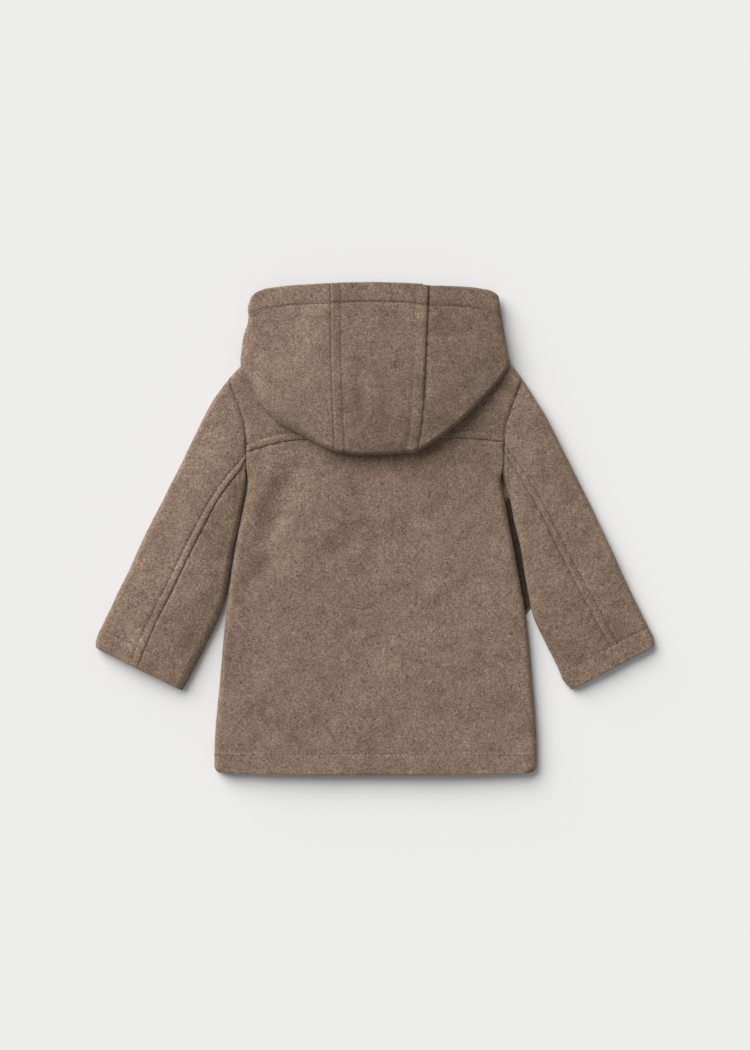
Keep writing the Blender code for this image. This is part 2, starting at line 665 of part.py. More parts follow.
def hood_faces(grid):
    """The outer and inner faces of the hood's upper layer."""
    depth = distance(grid, hood_fold_line())
    low = hood_low(grid)
    roof = hood_roof(grid)
    rim = np.minimum.reduce([distance(grid, smooth_line(line)) for line in (RIM_LEFT, RIM_CENTRE, RIM_RIGHT)])
    turned = RIM_TURN_UP * ease(rim, RIM_DEPTH + BAND_EASE, RIM_DEPTH - BAND_EASE)
    outer = rolled(roof + turned / 2, low + FOLD_LIP, depth, HOOD_ROLL)
    inner = rolled(roof - CLOTH - turned / 2, low, depth - CLOTH, HOOD_ROLL - CLOTH)
    return with_height(grid, outer), with_height(grid, inner)


def hood_side(name, rim, side_line, lower, seam, side):
    """A hood side, from its seam out to the fold."""
    shift = np.array([side * SEAM_GAP / 2, 0])
    start = smooth_line(rim)
    end = smooth_line(lower)
    inner_line = smooth_line(seam) + shift
    start = joined(start, inner_line[0], start[-1])
    end = joined(end, inner_line[-1], end[-1])
    roll = rounded_steps(HOOD_ROLL)
    across = spaced(run_length(start)[-1], [0.0], roll, HOOD_COLUMNS)
    along = spaced(run_length(inner_line)[-1], [0.0, RIM_DEPTH / 2] + band_steps(RIM_DEPTH), roll, HOOD_ROWS)
    grid = patch(start, end, inner_line, smooth_line(side_line), across, along)
    return wall(name, *hood_faces(grid))


def hood_centre():
    left = smooth_line(SEAM_LEFT) + (SEAM_GAP / 2, 0)
    right = smooth_line(SEAM_RIGHT) - (SEAM_GAP / 2, 0)
    start = joined(smooth_line(RIM_CENTRE), left[0], right[0])
    end = joined(smooth_line(LOWER_CENTRE), left[-1], right[-1])
    near = [0.0, RIM_DEPTH / 2] + band_steps(RIM_DEPTH)
    along = spaced(run_length(left)[-1], near, rounded_steps(HOOD_ROLL), HOOD_ROWS)
    grid = patch(start, end, left, right, np.linspace(0, 1, STRIP_COLUMNS), along)
    return wall("hood_centre", *hood_faces(grid))


def hood_fold():
    """The layers hidden under the hood, one rounded solid from its lower fold to the edge of its mouth."""
    across = np.concatenate([FOLD_ENDS, np.linspace(*FOLD_MIDDLE), 1 - np.array(FOLD_ENDS[::-1])])
    fold = hood_fold_line()
    perimeter = at_shares(fold[fold[:, 1] < FOLD_END_Y], across)
    top = top_line()
    neck = at_shares(top[np.abs(top[:, 0]) < NECK_SPAN], across)
    mouth = at_shares(smooth_line(MOUTH), across)
    outward = (mouth - neck) / np.linalg.norm(mouth - neck, axis=1)[:, None]
    rows = [perimeter + (neck - perimeter) * share for share in FOLD_ROWS]
    rows += [neck + outward * step for step in NECK_STEPS]
    rows += [neck + (mouth - neck) * share for share in MOUTH_ROWS]
    grid = np.array(rows)
    beyond = np.arange(len(rows)) - (len(rows) - len(MOUTH_ROWS) - 1)
    depth = distance(grid, fold)
    lip = np.clip(depth / HOOD_FOLD_DEPTH, 0, 1)
    climb = on_yoke(grid)
    low = hood_low(grid) - FOLD_DROP - RAMP_CLEAR * HOOD_CLEAR * climb * (1 - climb)
    under = yoke_face(grid) + YOKE_CLEAR + FOLD_THINNING * HOOD_FOLD_DEPTH * (1 - np.sqrt(1 - (1 - lip) ** 2))
    under = np.where(beyond[:, None] >= 0, 0.0, under)
    roof = hood_roof(grid) - CLOTH - RIM_TURN_UP
    inset = depth - CLOTH - FOLD_INSET * HOOD_CLEAR
    full = rolled(roof - HOOD_CLEAR, low, inset, HOOD_ROLL - CLOTH)
    thin = np.minimum(full, rolled(CLOTH + 0 * low, low, inset, HOOD_ROLL - CLOTH))
    over = full + (thin - full) * np.clip(beyond / len(NECK_STEPS), 0, 1)[:, None]
    return wall("hood_fold", with_height(grid, np.maximum(over, under + FOLD_LIP)), with_height(grid, under))


# Everything -------------------------------------------------------------------------------------------------


def clear_scene():
    for thing in list(bpy.data.objects):
        bpy.data.objects.remove(thing, do_unlink=True)


def build():
    clear_scene()
    back_panel()
    back_yoke()
    front("front_left", -1)
    front("front_right", 1)
    sleeve_piece("sleeve_left_top", SLEEVE_LEFT, -1, True)
    sleeve_piece("sleeve_left_under", SLEEVE_LEFT, -1, False)
    sleeve_piece("sleeve_right_top", SLEEVE_RIGHT, 1, True)
    sleeve_piece("sleeve_right_under", SLEEVE_RIGHT, 1, False)
    hood_side("hood_left", RIM_LEFT, SIDE_LEFT, LOWER_LEFT, SEAM_LEFT, -1)
    hood_centre()
    hood_side("hood_right", RIM_RIGHT, SIDE_RIGHT, LOWER_RIGHT, SEAM_RIGHT, 1)
    hood_fold()


build()
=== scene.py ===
"""The looks of a small child's hooded wool coat, laid flat with its front down, seen from straight above.

Each cut piece of the coat is a fine wall of cloth on its solid's form, with pressed seams, topstitching,
turned edges, soft folds and a nap of short wool fibres. Metres, in the solids' own frame.
"""

import bmesh
import bpy
import numpy as np
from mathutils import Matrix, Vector


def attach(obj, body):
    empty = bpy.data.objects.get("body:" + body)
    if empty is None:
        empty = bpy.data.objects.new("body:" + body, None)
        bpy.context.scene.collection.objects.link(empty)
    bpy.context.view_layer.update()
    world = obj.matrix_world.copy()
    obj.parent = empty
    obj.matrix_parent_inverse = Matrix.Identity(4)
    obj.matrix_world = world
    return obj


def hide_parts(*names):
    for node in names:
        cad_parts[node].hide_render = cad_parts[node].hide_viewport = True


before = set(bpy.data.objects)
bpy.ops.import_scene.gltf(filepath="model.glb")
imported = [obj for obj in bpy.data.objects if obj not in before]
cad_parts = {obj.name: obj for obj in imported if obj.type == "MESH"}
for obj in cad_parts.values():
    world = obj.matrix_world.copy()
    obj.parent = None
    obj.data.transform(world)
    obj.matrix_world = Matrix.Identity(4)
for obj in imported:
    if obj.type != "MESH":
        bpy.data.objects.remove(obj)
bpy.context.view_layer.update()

# Cloth
CLOTH = 0.004
SEAM_GAP = -0.0008  # below zero: the edges of sewn pieces are pressed together
FOLD_LIP = 0.0008
BAND_EASE = 0.005  # half the width of the slope beside a turned band
TURN_UP = 0.0003
RIM_TURN_UP = 0.0011
EDGE_ROUND = 0.0019  # how far from a cut edge the cloth rounds off

# Body
HEM_Y = -0.2586
HEM_RISE = 0.0022
HEM_CORNER = 0.007
HEM_DEPTH = 0.023
UNDERARM_Y = 0.052
BODY_HEIGHT = 0.0114
BODY_CROWN = 0.003
BODY_ROLL = 0.0058
SIDE_SEAM_Z = 0.0043
BODY_SIDES = (  # y, half width on the left, half width on the right
    (0.0777, 0.1344, 0.1318),
    (0.0462, 0.1347, 0.1327),
    (0.02, 0.1397, 0.1379),
    (-0.0168, 0.1469, 0.1449),
    (-0.0536, 0.1528, 0.1517),
    (-0.1008, 0.1586, 0.1596),
    (-0.1638, 0.1641, 0.1654),
    (-0.2152, 0.1688, 0.1693),
    (-0.2586, 0.1697, 0.1698),
)
YOKE_SEAM = (
    (-0.1334, 0.0809), (-0.1097, 0.0879), (-0.0777, 0.0935), (0.0, 0.0957), (0.0887, 0.095), (0.1339, 0.0914),
)
SHOULDER_TIP = (0.1539, 0.1586)
# Down each shoulder from its tip to the neck: distance from the middle, y
SHOULDER_LEFT = ((0.148, 0.1649), (0.1415, 0.1715), (0.131, 0.1765), (0.0709, 0.1943))
SHOULDER_RIGHT = ((0.1475, 0.1676), (0.1407, 0.1755), (0.131, 0.1795), (0.0709, 0.1943))
NECKLINE = ((0.056, 0.1888), (0.03, 0.1848), (0.0, 0.1838))
ARMHOLE_DIP = 0.0087  # how far the armhole bows in from its chord
DIP_POWER = 1.2
ARMHOLE_EASE = 0.022
TIP_REACH = 0.002  # below the shoulder's tip, the armhole's edge overlaps nothing
SIDE_START = 0.02  # above the hem, where a side's even points begin
LAP_HALF = 0.03
LAP_RAMP = 0.018
LAP_COLUMNS = (8, 10)  # across the ramp and across the lap
FRONT_THINNING = 0.35  # share of the cloth that rounds away at a front's folded side
FRONT_HEM = 0.6  # depth of its hem's trough beside the back's
YOKE_FOLD_REACH = 0.03  # how far the back's folds run up into the yoke
WEB_ENDS = (0.06, -0.083)
WEB_EASE = (0.01, 0.004)
WEB_THINNING = 0.65
WEB_EDGE = (-0.004, 0.001)  # where it thins, outwards from the back's side
WEB_PAINTED_SHADE = 0.004  # how far in under the back the painted shade goes on: a near-black face of the right front, painted where the gap beside the sleeve lies in shadow
# the top of that painted shade: above it the strip in the gap keeps the plain wool
WEB_PAINTED_SHADE_TOP = 0.033
FACES_UP = 0.3  # least upward part of a face's normal there
WEB_GAP = -0.003  # below zero: it reaches in under the sleeve

# Sleeves
SLEEVE_HEIGHT = 0.0102
SLEEVE_CROWN = 0.0056
ARMHOLE_CROWN = 0.0016
CROWN_RISE = 0.25  # share of the sleeve's length over which its crown fills out
OUTER_ROLL = 0.0072
OUTER_FOLD_Z = 0.0051
INNER_ROLL = {-1: 0.0105, 1: 0.007}
INNER_FOLD_Z = 0.0035
INNER_SLANT = 1.15
UNDER_ROLL = 0.005
SLEEVE_LENGTH = 0.3
SLEEVE_START = -0.012  # the first ring lies this share of the length in under the armhole's edge
START_SHARES = (1, 0.6, 0.25)  # rings there
TURN_POINTS = (13, 9, 16)  # round the upper and the lower turn of a ring, and along its flat underside
WELT_BEYOND = 0.004  # past the topstitching, a ring's points keep their places
BOW_REACH = 0.32
UNDER_SEAM_SHARE = 0.4
SLEEVE_GAP = -0.0012  # below zero: the body's edge lies over the sleeve
CUFF_PRESS = {-1: 0.0006, 1: 0.0021}  # how much lower the sleeve lies at its cuff
CUFF_FLAT = {-1: 0.35, 1: 0.8}  # share of its crown that is pressed out there
PRESS_REACH = 0.09
CUFF_DEPTH = 0.022
TUCK_DEPTH = 0.0026  # how far the sleeve's start is pressed down under the armhole's edge
TUCK_REACH = 0.011
TUCK_FULL = -0.0012  # where that is full
UPPER_SHARE = 0.55  # of the sleeve's height, where its upper side ends
RELIEF_HEIGHTS = (0.0045, 0.0075)  # between which the relief fades in
ARMHOLE_FADE = 0.015  # the same for its folds, along it
CUFF_FAINT = (0.4, 1.3)  # the same for its seams, in cuff depths from its end
FAINT_DENT = 0.35  # shares of a seam's relief and of its rounding that are left at the cuff
FAINT_EDGE = 0.45
SLEEVE_LEFT = (  # outer x, outer y, inner x, inner y, share of the width where the seam runs
    (-0.1539, 0.1586, -0.136, 0.052, 0.8),
    (-0.1701, 0.137, -0.1386, 0.0305, 0.725),
    (-0.1874, 0.104, -0.1435, 0.0053, 0.639),
    (-0.2053, 0.0672, -0.1487, -0.0199, 0.577),
    (-0.2252, 0.0273, -0.1527, -0.0441, 0.531),
    (-0.2441, -0.0095, -0.1567, -0.0683, 0.497),
    (-0.2604, -0.0457, -0.1638, -0.0924, 0.475),
    (-0.2767, -0.0793, -0.1764, -0.1192, 0.468),
    (-0.2903, -0.1071, -0.189, -0.1444, 0.474),
    (-0.294, -0.1176, -0.1974, -0.1601, 0.484),
    (-0.2945, -0.125, -0.2032, -0.1701, 0.49),
)
SLEEVE_RIGHT = (
    (0.1539, 0.1586, 0.1346, 0.052, 0.72),
    (0.1691, 0.1355, 0.1419, 0.0305, 0.69),
    (0.1864, 0.104, 0.1465, 0.0063, 0.64),
    (0.2053, 0.0672, 0.1526, -0.0179, 0.595),
    (0.2252, 0.0278, 0.1565, -0.0431, 0.553),
    (0.2431, -0.01, 0.161, -0.0683, 0.512),
    (0.2594, -0.0457, 0.1664, -0.0924, 0.466),
    (0.2767, -0.0819, 0.1801, -0.1218, 0.446),
    (0.2898, -0.1076, 0.1901, -0.1417, 0.435),
    (0.2935, -0.1166, 0.1974, -0.1586, 0.418),
    (0.2929, -0.1239, 0.2063, -0.1691, 0.404),
)

# Hood
HOOD_ROLL = 0.0036
INNER_HOOD_ROLL = 0.0008  # the least roll of its inner face
HOOD_SEAM_Z = 0.005
HOOD_FOLD_DEPTH = 0.004
HOOD_CLEAR = 0.0012
HOOD_LIFT = 0.0046  # from the yoke up to the hood's lower fold
SOFT_ROLL = 0.017  # the same two where the hood lies softly on the left shoulder
SOFT_LIFT = 0.003
SOFT_X = (0.045, 0.09)  # where that sets in, leftwards and downwards
SOFT_Y = (0.205, 0.17)
YOKE_CLEAR = 0.0012
HOOD_HALF = 0.14
HOOD_ROOF = (  # y, height along the middle, how much lower it is at the hood's sides
    (0.26, 0.017, 0.0055),
    (0.238, 0.0205, 0.008),
    (0.2, 0.027, 0.012),
    (0.16, 0.0325, 0.015),
    (0.125, 0.034, 0.0155),
    (0.095, 0.032, 0.014),
    (0.077, 0.029, 0.011),
)
RIM_DEPTH = 0.021
RIM_EASE = 0.002  # half the width of the slope beside that turned band
RIM_FADE = 0.006  # from the hood's fold, where its trough fades in
STRIP_WELTS = (0.0102, 0.0122)  # from the strip's left and right seams to their topstitching
STRIP_RELIEF = (0.6, 1.0)  # how strong the relief of its two seams is
STRIP_STEPS = (0.0142, 0.015)  # rows past the right topstitching
SHOULDER_RAMP = (0.196, 0.148)
FOLD_WIDTH = 0.38
FOLD_TOP = 0.169  # y where the hidden layers' lower fold ends
NECK_HALF = 0.1416  # half the length of the neck's line
FOLD_EDGE = (0.0, 0.002, 0.0045, 0.008, 0.013)  # rows at its two ends
# Rows from its lower fold to the neck
FOLD_SHARES = (0.0, 0.005, 0.012, 0.022, 0.035, 0.055, 0.08, 0.11, 0.16, 0.3, 0.45, 0.6, 0.75, 0.87, 0.94)
NECK_STEPS = (0.0016, 0.003)  # rows just past the neck, where the layers come down to the ground
MOUTH_SHARES = (0.25, 0.5, 0.75, 0.9, 1.0)  # rows from the neck to the mouth's edge
FOLD_LOWER = 0.0006
FOLD_DIP = 6  # these three are shares of a clearance or a depth
FOLD_THINNING = 0.3
FOLD_INSET = 2.2
RIM_LEFT = (  # x, y along the hood's turned edge, from the seam outwards
    (-0.0473, 0.2582), (-0.0898, 0.2558), (-0.1087, 0.2535), (-0.1171, 0.2519), (-0.1255, 0.2483),
    (-0.131, 0.2435),
)
SIDE_LEFT = (  # x, y down the side fold, with the notch below the turned edge
    (-0.131, 0.2435), (-0.1337, 0.2352), (-0.1344, 0.2289), (-0.1329, 0.2212), (-0.1345, 0.216),
    (-0.1391, 0.2016), (-0.1421, 0.1785),
)
LOWER_LEFT = (
    (-0.0425, 0.0804), (-0.0583, 0.0876), (-0.0793, 0.0992), (-0.1024, 0.1124), (-0.1213, 0.1334),
    (-0.133, 0.156), (-0.1405, 0.168), (-0.1421, 0.1785),
)
SEAM_LEFT = ((-0.0473, 0.2582), (-0.0462, 0.1775), (-0.0425, 0.0804))
RIM_RIGHT = (
    (0.0562, 0.2556), (0.0782, 0.2552), (0.0992, 0.2541), (0.1097, 0.2528), (0.1202, 0.2508),
    (0.1265, 0.2476), (0.1299, 0.2436),
)
SIDE_RIGHT = (
    (0.1299, 0.2436), (0.1307, 0.2384), (0.1318, 0.2289), (0.1339, 0.2142), (0.137, 0.1985), (0.1406, 0.1785),
)
LOWER_RIGHT = (
    (0.044, 0.0806), (0.0572, 0.0882), (0.0736, 0.1), (0.0887, 0.1124), (0.1097, 0.1334), (0.1261, 0.1517),
    (0.1378, 0.167), (0.1406, 0.1785),
)
SEAM_RIGHT = (
    (0.0562, 0.2556), (0.0541, 0.2194), (0.053, 0.1932), (0.0514, 0.1617), (0.0488, 0.1113), (0.044, 0.0806),
)
RIM_CENTRE = (
    (-0.0473, 0.2582), (-0.02, 0.259), (0.0047, 0.2591), (0.045, 0.2576), (0.0505, 0.256), (0.0562, 0.2556),
)
LOWER_CENTRE = ((-0.0425, 0.0804), (-0.02, 0.0776), (0.01, 0.0778), (0.044, 0.0806))
MOUTH = (
    (-0.131, 0.242), (-0.112, 0.228), (-0.071, 0.211), (0.0, 0.201), (0.071, 0.211), (0.112, 0.228),
    (0.1299, 0.2424),
)

# Relief
STITCH_OFFSET = 0.009  # from a seam to its topstitching
TROUGH_DEPTH = 0.0007
TROUGH_WIDTH = 0.0013
TROUGH_BEAT = (0.9, 0.1)  # its depth between the stitches' ends, and what their ends add
TROUGH_UNEVEN = (0.12, 0.018)  # share and length
TROUGH_SIDES = (0.25, 3.2)  # depth and width of the wider dip round it, beside its own
WELT_HEIGHT = 0.0007  # the doubled allowance between a seam and its topstitching
WELT_POWERS = (0.8, 0.7)
SEAM_DIP = 0.0005
SLEEVE_SEAM_DIP = 0.001
ARMHOLE_SEAM_DIP = {-1: 0.0017, 1: 0.0008}
ARMHOLE_GROOVE = 0.001  # the same on the left sleeve's side of its seam
SEAM_FADE = (0.11, 0.03, 0.65)  # from the cuff, where the left sleeve's seams fade, and by how much
SEAM_DIP_WIDTH = 0.0019
SEAM_LIFT = 0.0012  # the strip's right edge stands up over the hood's side
SEAM_SINK = 0.001
LIFT_REACH = 0.015
SINK_REACH = 0.006
LIFT_TOP = 0.1  # from the hood's edge down, where both are full
PUCKER_HEIGHT = 0.00022
PUCKER_LENGTH = 0.011
PUCKER_REACH = 0.012
NAP_HEIGHT = 0.0001
NAP_WAVES = ((0.7, 0.0052, 18), (0.5, 0.011, 14))  # share of that height, length, how many
SLACK_WAVES = ((0.00032, 0.085), (0.00014, 0.034))  # height and length of heavy cloth's unevenness
WAVE_SPREAD = (0.6, 1.5)
FOLD_UNEVEN = (0.22, 0.045)  # share of a fold's depth, and length
FOLD_TAPER = (0.35, 0.65, 0.8)  # share of its depth at its ends, what its middle adds, and a power
FOLD_ENDS = (0.02, 0.98)  # shares of its length past which it no longer fades
FOLD_FADE = 0.012  # from the body's edge
HOOD_FADE = 0.011  # from the hood's
STITCH_FADE = 0.004
EDGE_LEFT = 0.05  # share of the thickness left at a cut edge
INNER_SHARE = 0.8  # how much of a fold shows on the inner face
STITCH_LENGTH = 0.0034
STITCH_SPACE = 0.001
THREAD = 0.00055
STITCH_SAG = 0.25
STITCH_JITTER = (0.0001, 0.00008)  # along and across
STITCH_SIDES = 6
STITCH_FORM = (  # share of the stitch's length, then its height and radius in half threads
    (0.0, -1.2, 0.35),
    (0.12, -0.1, 0.85),
    (0.3, 0.35, 1.0),
    (0.5, 0.5, 1.0),
    (0.7, 0.35, 1.0),
    (0.88, -0.1, 0.85),
    (1.0, -1.2, 0.35),
)
FOLDS = (  # start x, y, middle x, y, end x, y, half width, depth (below zero is a ridge)
    (-0.079, 0.08, -0.1, 0.02, -0.131, -0.078, 0.017, 0.004),
    (-0.056, 0.078, -0.042, 0.04, -0.046, -0.02, 0.02, -0.0022),
    (-0.12, 0.056, -0.124, 0.03, -0.133, 0.0, 0.012, -0.0016),
    (0.034, 0.06, 0.036, 0.01, 0.032, -0.04, 0.009, 0.0006),
    (-0.13, -0.115, -0.132, -0.165, -0.129, -0.22, 0.008, 0.0007),
    (0.136, -0.17, 0.145, -0.205, 0.156, -0.235, 0.011, 0.0008),
    (0.075, 0.06, 0.095, -0.02, 0.09, -0.11, 0.022, 0.0006),
    (0.01, -0.09, -0.03, -0.15, -0.035, -0.21, 0.024, 0.0005),
    (-0.176, 0.056, -0.169, 0.044, -0.164, 0.03, 0.01, 0.0012),
    (-0.23, -0.03, -0.215, -0.07, -0.215, -0.1, 0.013, 0.0007),
    (0.1375, 0.076, 0.14, 0.052, 0.144, 0.033, 0.007, 0.0022),
    (0.172, 0.07, 0.184, 0.03, 0.205, -0.01, 0.012, 0.0008),
    (0.235, -0.05, 0.225, -0.085, 0.215, -0.12, 0.012, 0.0007),
)
HOOD_FOLDS = (
    (-0.015, 0.172, -0.0155, 0.142, -0.014, 0.112, 0.0065, 0.0021),
    (-0.026, 0.19, -0.03, 0.165, -0.029, 0.14, 0.007, -0.0008),
    (-0.0215, 0.244, -0.021, 0.24, -0.02, 0.235, 0.005, 0.0006),
    (0.019, 0.244, 0.019, 0.24, 0.0185, 0.235, 0.005, 0.0006),
    (-0.09, 0.23, -0.105, 0.195, -0.115, 0.16, 0.016, 0.0009),
    (0.09, 0.225, 0.105, 0.19, 0.105, 0.155, 0.015, 0.0014),
    (0.02, 0.22, 0.025, 0.2, 0.033, 0.17, 0.01, 0.001),
    (-0.07, 0.15, -0.08, 0.13, -0.095, 0.12, 0.011, -0.0006),
)

SLEEVES = (  # node, outlines, side, whether round the outer fold, how strong the cuff's trough is, seed
    ("sleeve_left_top", SLEEVE_LEFT, -1, True, 0.35, 51),
    ("sleeve_left_under", SLEEVE_LEFT, -1, False, 0.35, 53),
    ("sleeve_right_top", SLEEVE_RIGHT, 1, True, 0.9, 55),
    ("sleeve_right_under", SLEEVE_RIGHT, 1, False, 0.6, 57),
)
HOOD_SIDES = (  # node, outlines, side, seed
    ("hood_left", RIM_LEFT, SIDE_LEFT, LOWER_LEFT, SEAM_LEFT, -1, 60),
    ("hood_right", RIM_RIGHT, SIDE_RIGHT, LOWER_RIGHT, SEAM_RIGHT, 1, 68),
)

# Grids: distances from an edge where they have rows, then their spacing and their usual size
CUT_STEPS = (0.0, 0.0002, 0.0005, 0.0009, 0.0014, 0.002, 0.0028, 0.0038, 0.0052, 0.007)
ROLL_STEPS = (0.0, 0.0001, 0.0004, 0.0009, 0.0016, 0.0026, 0.0038, 0.0052, 0.0068, 0.0086, 0.0106, 0.013)
WELT_STEPS = CUT_STEPS + (0.0077, 0.0082, 0.0086, 0.009, 0.0094, 0.0098, 0.0104, 0.0114, 0.013)
SLEEVE_STEPS = (0.0, 0.0006, 0.0012, 0.002, 0.003, 0.0042, 0.0058, 0.0078)
PITCH = 0.0032
FRONT_PITCH = 0.006
FOLD_PITCH = 0.008
LINE_POINTS = 60
CORNER_POINTS = 13
GRID_SIZES = {  # across, along
    "back_panel": (0.3, 0.35),
    "back_yoke": (0.3, 0.105),
    "front": (0.115, 0.42),
    "hood_side": (0.09, 0.15),
    "hood_centre": (0.094, 0.18),
}

# Wool
# Per piece, painted light: the left sleeve is tinted lighter, and the hood's middle and right and the right
# under sleeve darker, copying light that falls off from left to right
TINTS = {
    "wool": 0.97,
    # near-black wool: painted shade for the strip of the right front in the gap beside the sleeve
    "wool_painted_shade": 0.22,
    "wool_thread": 0.62,
    "wool_hood_left": 0.97,
    "wool_hood_centre": 0.84,
    "wool_hood_right": 0.8,
    "wool_sleeve_left_top": 1.05,
    "wool_sleeve_left_under": 0.99,
    "wool_sleeve_right_top": 1.0,
    "wool_sleeve_right_under": 0.94,
}
DARK = (0.091, 0.059, 0.038)
MID = (0.236, 0.167, 0.118)
LIGHT = (0.402, 0.306, 0.235)
NOISES = {  # scale, detail, roughness, stretch, turn, distortion
    "mottle": (520.0, 3.0, 0.75, (1, 1, 1), 0.0, 0.5),
    "fibre_a": (560.0, 2.0, 0.7, (0.6, 1.4, 1.0), 0.5, 0.8),
    "fibre_b": (560.0, 2.0, 0.7, (1.4, 0.6, 1.0), -0.35, 0.8),
    "specks": (640.0, 1.0, 0.6, (1, 1, 1), 0.0, 0.4),
    "clouds": (78.0, 2.0, 0.55, (1, 1, 1), 0.0, 0.6),
    "patches": (24.0, 2.0, 0.5, (1, 1, 1), 0.0, 0.0),
    "grain": (900.0, 2.0, 0.7, (1, 1, 1), 0.0, 0.0),
}
MOTTLE_RANGE = (0.28, 0.6)
FLECK_RANGE = (0.5, 0.8)
SPECK_RANGE = (0.43, 0.27)
SHADES = {"patches": (0.5, 0.75), "clouds": (0.75, 0.625), "grain": (0.6, 0.7)}  # gain, base
BUMP_SHARES = (0.8, 0.7, 0.25)  # of the flecks, the mottle and the grain
BUMP = {"Strength": 0.55, "Distance": 0.0009}
FINISH = {
    "Roughness": 0.95,
    "Specular IOR Level": 0.12,
    "Sheen Weight": 0.22,
    "Sheen Roughness": 0.55,
    "Sheen Tint": (0.86, 0.78, 0.7, 1.0),
}

# Stage
FLOOR = {"Base Color": (0.8, 0.8, 0.8, 1.0), "Roughness": 1.0, "Specular IOR Level": 0.0}
FLOOR_SIZE = 12.0
FLOOR_DROP = 0.0002
SUN_ENERGY = 4.55
SUN_ANGLE = 56  # degrees
SUN_COLOUR = (1.0, 0.99, 0.975)
SUN_HEADING = (1.08, -1.22, -1.0)  # which way it shines
SKY_COLOUR = (0.975, 0.985, 1.0, 1.0)
SKY_STRENGTH = 0.315
LENS = 85  # millimetres, as is the sensor's width
SENSOR = 36
CLIP_END = 20
FRAME_HEIGHT = 1.1025  # how much the picture shows from top to bottom, at this level above the floor
FRAME_LEVEL = 0.012
FRAME_MIDDLE = (-0.0005, 0.0042)


# --- Lines and grids


def smooth_line(points, steps=24):
    """A smooth curve through a few points, each stretch sampled steps times."""
    points = np.array(points, float)
    first = 2 * points[0] - points[1]
    last = 2 * points[-1] - points[-2]
    guide = np.vstack([first, points, last])
    t = np.linspace(0, 1, steps, endpoint=False)[:, None]
    line = []
    for a, b, c, d in zip(guide, guide[1:], guide[2:], guide[3:]):
        bent = (2 * a - 5 * b + 4 * c - d) * t**2
        line.append(0.5 * (2 * b + (c - a) * t + bent + (3 * b - a - 3 * c + d) * t**3))
    line.append(points[-1:])
    return np.vstack(line)


def run_length(line):
    """How far along a line each of its points is."""
    return np.concatenate([[0.0], np.cumsum(np.linalg.norm(np.diff(line, axis=0), axis=1))])


def at_shares(line, shares):
    """The points at these shares of a line's length."""
    run = run_length(line)
    wanted = np.asarray(shares) * run[-1]
    return np.column_stack([np.interp(wanted, run, line[:, k]) for k in range(line.shape[1])])


def patch(start, end, left, right, across, along):
    """A grid filled between four lines: start and end run across, left and right run along."""
    s = at_shares(start, across)[None]
    e = at_shares(end, across)[None]
    lo = at_shares(left, along)[:, None]
    hi = at_shares(right, along)[:, None]
    u = np.asarray(across)[None, :, None]
    v = np.asarray(along)[:, None, None]
    near = (1 - u) * (1 - v) * s[:, :1] + u * (1 - v) * s[:, -1:]
    corners = near + (1 - u) * v * e[:, :1] + u * v * e[:, -1:]
    return (1 - v) * s + v * e + (1 - u) * lo + u * hi - corners


def nearest(grid, line, chunk=2500):
    """How far each point of a grid is from a line, and how far along the line it is nearest to."""
    a = line[:-1]
    step = line[1:] - a
    size = np.maximum((step**2).sum(1), 1e-14)
    run = run_length(line)
    points = grid.reshape(-1, 1, 2)
    away = np.empty(len(points))
    place = np.empty(len(points))
    for k in range(0, len(points), chunk):
        p = points[k : k + chunk]
        t = np.clip(((p - a) * step).sum(2) / size, 0, 1)
        gap = np.linalg.norm(p - a - t[..., None] * step, axis=2)
        best = gap.argmin(1)
        rows = np.arange(len(p))
        away[k : k + chunk] = gap[rows, best]
        place[k : k + chunk] = run[best] + t[rows, best] * np.sqrt(size[best])
    return away.reshape(grid.shape[:-1]), place.reshape(grid.shape[:-1])


def distance(grid, line):
    return nearest(grid, line)[0]


def ease(value, start, end):
    """0 at start, 1 at end, smooth between."""
    t = np.clip((value - start) / (end - start), 0, 1)
    return t * t * (3 - 2 * t)


def rolled(top, low, depth, radius):
    """The height of a face that rolls down from top to low as depth falls from radius to 0."""
    q = np.clip(depth / radius, 0, 1)
    return low + (top - low) * np.sqrt(1 - (1 - q) ** 2)


def waves(points, length, seed, count=14):
    """Smooth unevenness of about this wavelength, with a spread of 1."""
    draw = np.random.default_rng(seed)
    angle = draw.uniform(0, 2 * np.pi, (count, points.shape[-1]))
    heading = np.cos(angle)
    heading /= np.linalg.norm(heading, axis=1)[:, None]
    pace = 2 * np.pi / (length * draw.uniform(*WAVE_SPREAD, count))
    phase = draw.uniform(0, 2 * np.pi, count)
    total = np.zeros(points.shape[:-1])
    for k in range(count):
        total += np.sin((points * heading[k]).sum(-1) * pace[k] + phase[k])
    return total / np.sqrt(count / 2)


def with_height(grid, height):
    return np.concatenate([grid, np.broadcast_to(height, grid.shape[:-1])[..., None]], axis=2)


def joined(line, first, last):
    """The same line with its ends put exactly on two corners."""
    t = np.linspace(0, 1, len(line))[:, None]
    return line + (1 - t) ** 4 * (first - line[0]) + t**4 * (last - line[-1])


def spaced(length, start_steps, end_steps, pitch):
    """Shares of a length: fine steps at its start and its end, and an even pitch between."""
    start = [s for s in start_steps if s < length / 2]
    end = [s for s in end_steps if s < length / 2]
    count = max(1, int(round((length - start[-1] - end[-1]) / pitch)))
    middle = np.linspace(start[-1], length - end[-1], count + 1)[1:-1]
    return np.concatenate([start, middle, length - np.array(end[::-1])]) / length


def turned_steps(depth):
    """Steps at a turned edge: round at the fold, and fine again at its topstitching."""
    near = (0.0, 0.0002, 0.0005, 0.0009, 0.0014, 0.0020, 0.0030, 0.0044, 0.0065, 0.0100, 0.0140)
    beside = (0.0004, 0.0008, 0.0013, 0.0022, 0.0040)
    return (*near, *(depth - s for s in beside[::-1]), depth, *(depth + s for s in beside))


# --- Outlines


def hem_line(x):
    return HEM_Y + HEM_RISE * (np.asarray(x) / BODY_SIDES[-1][1]) ** 2


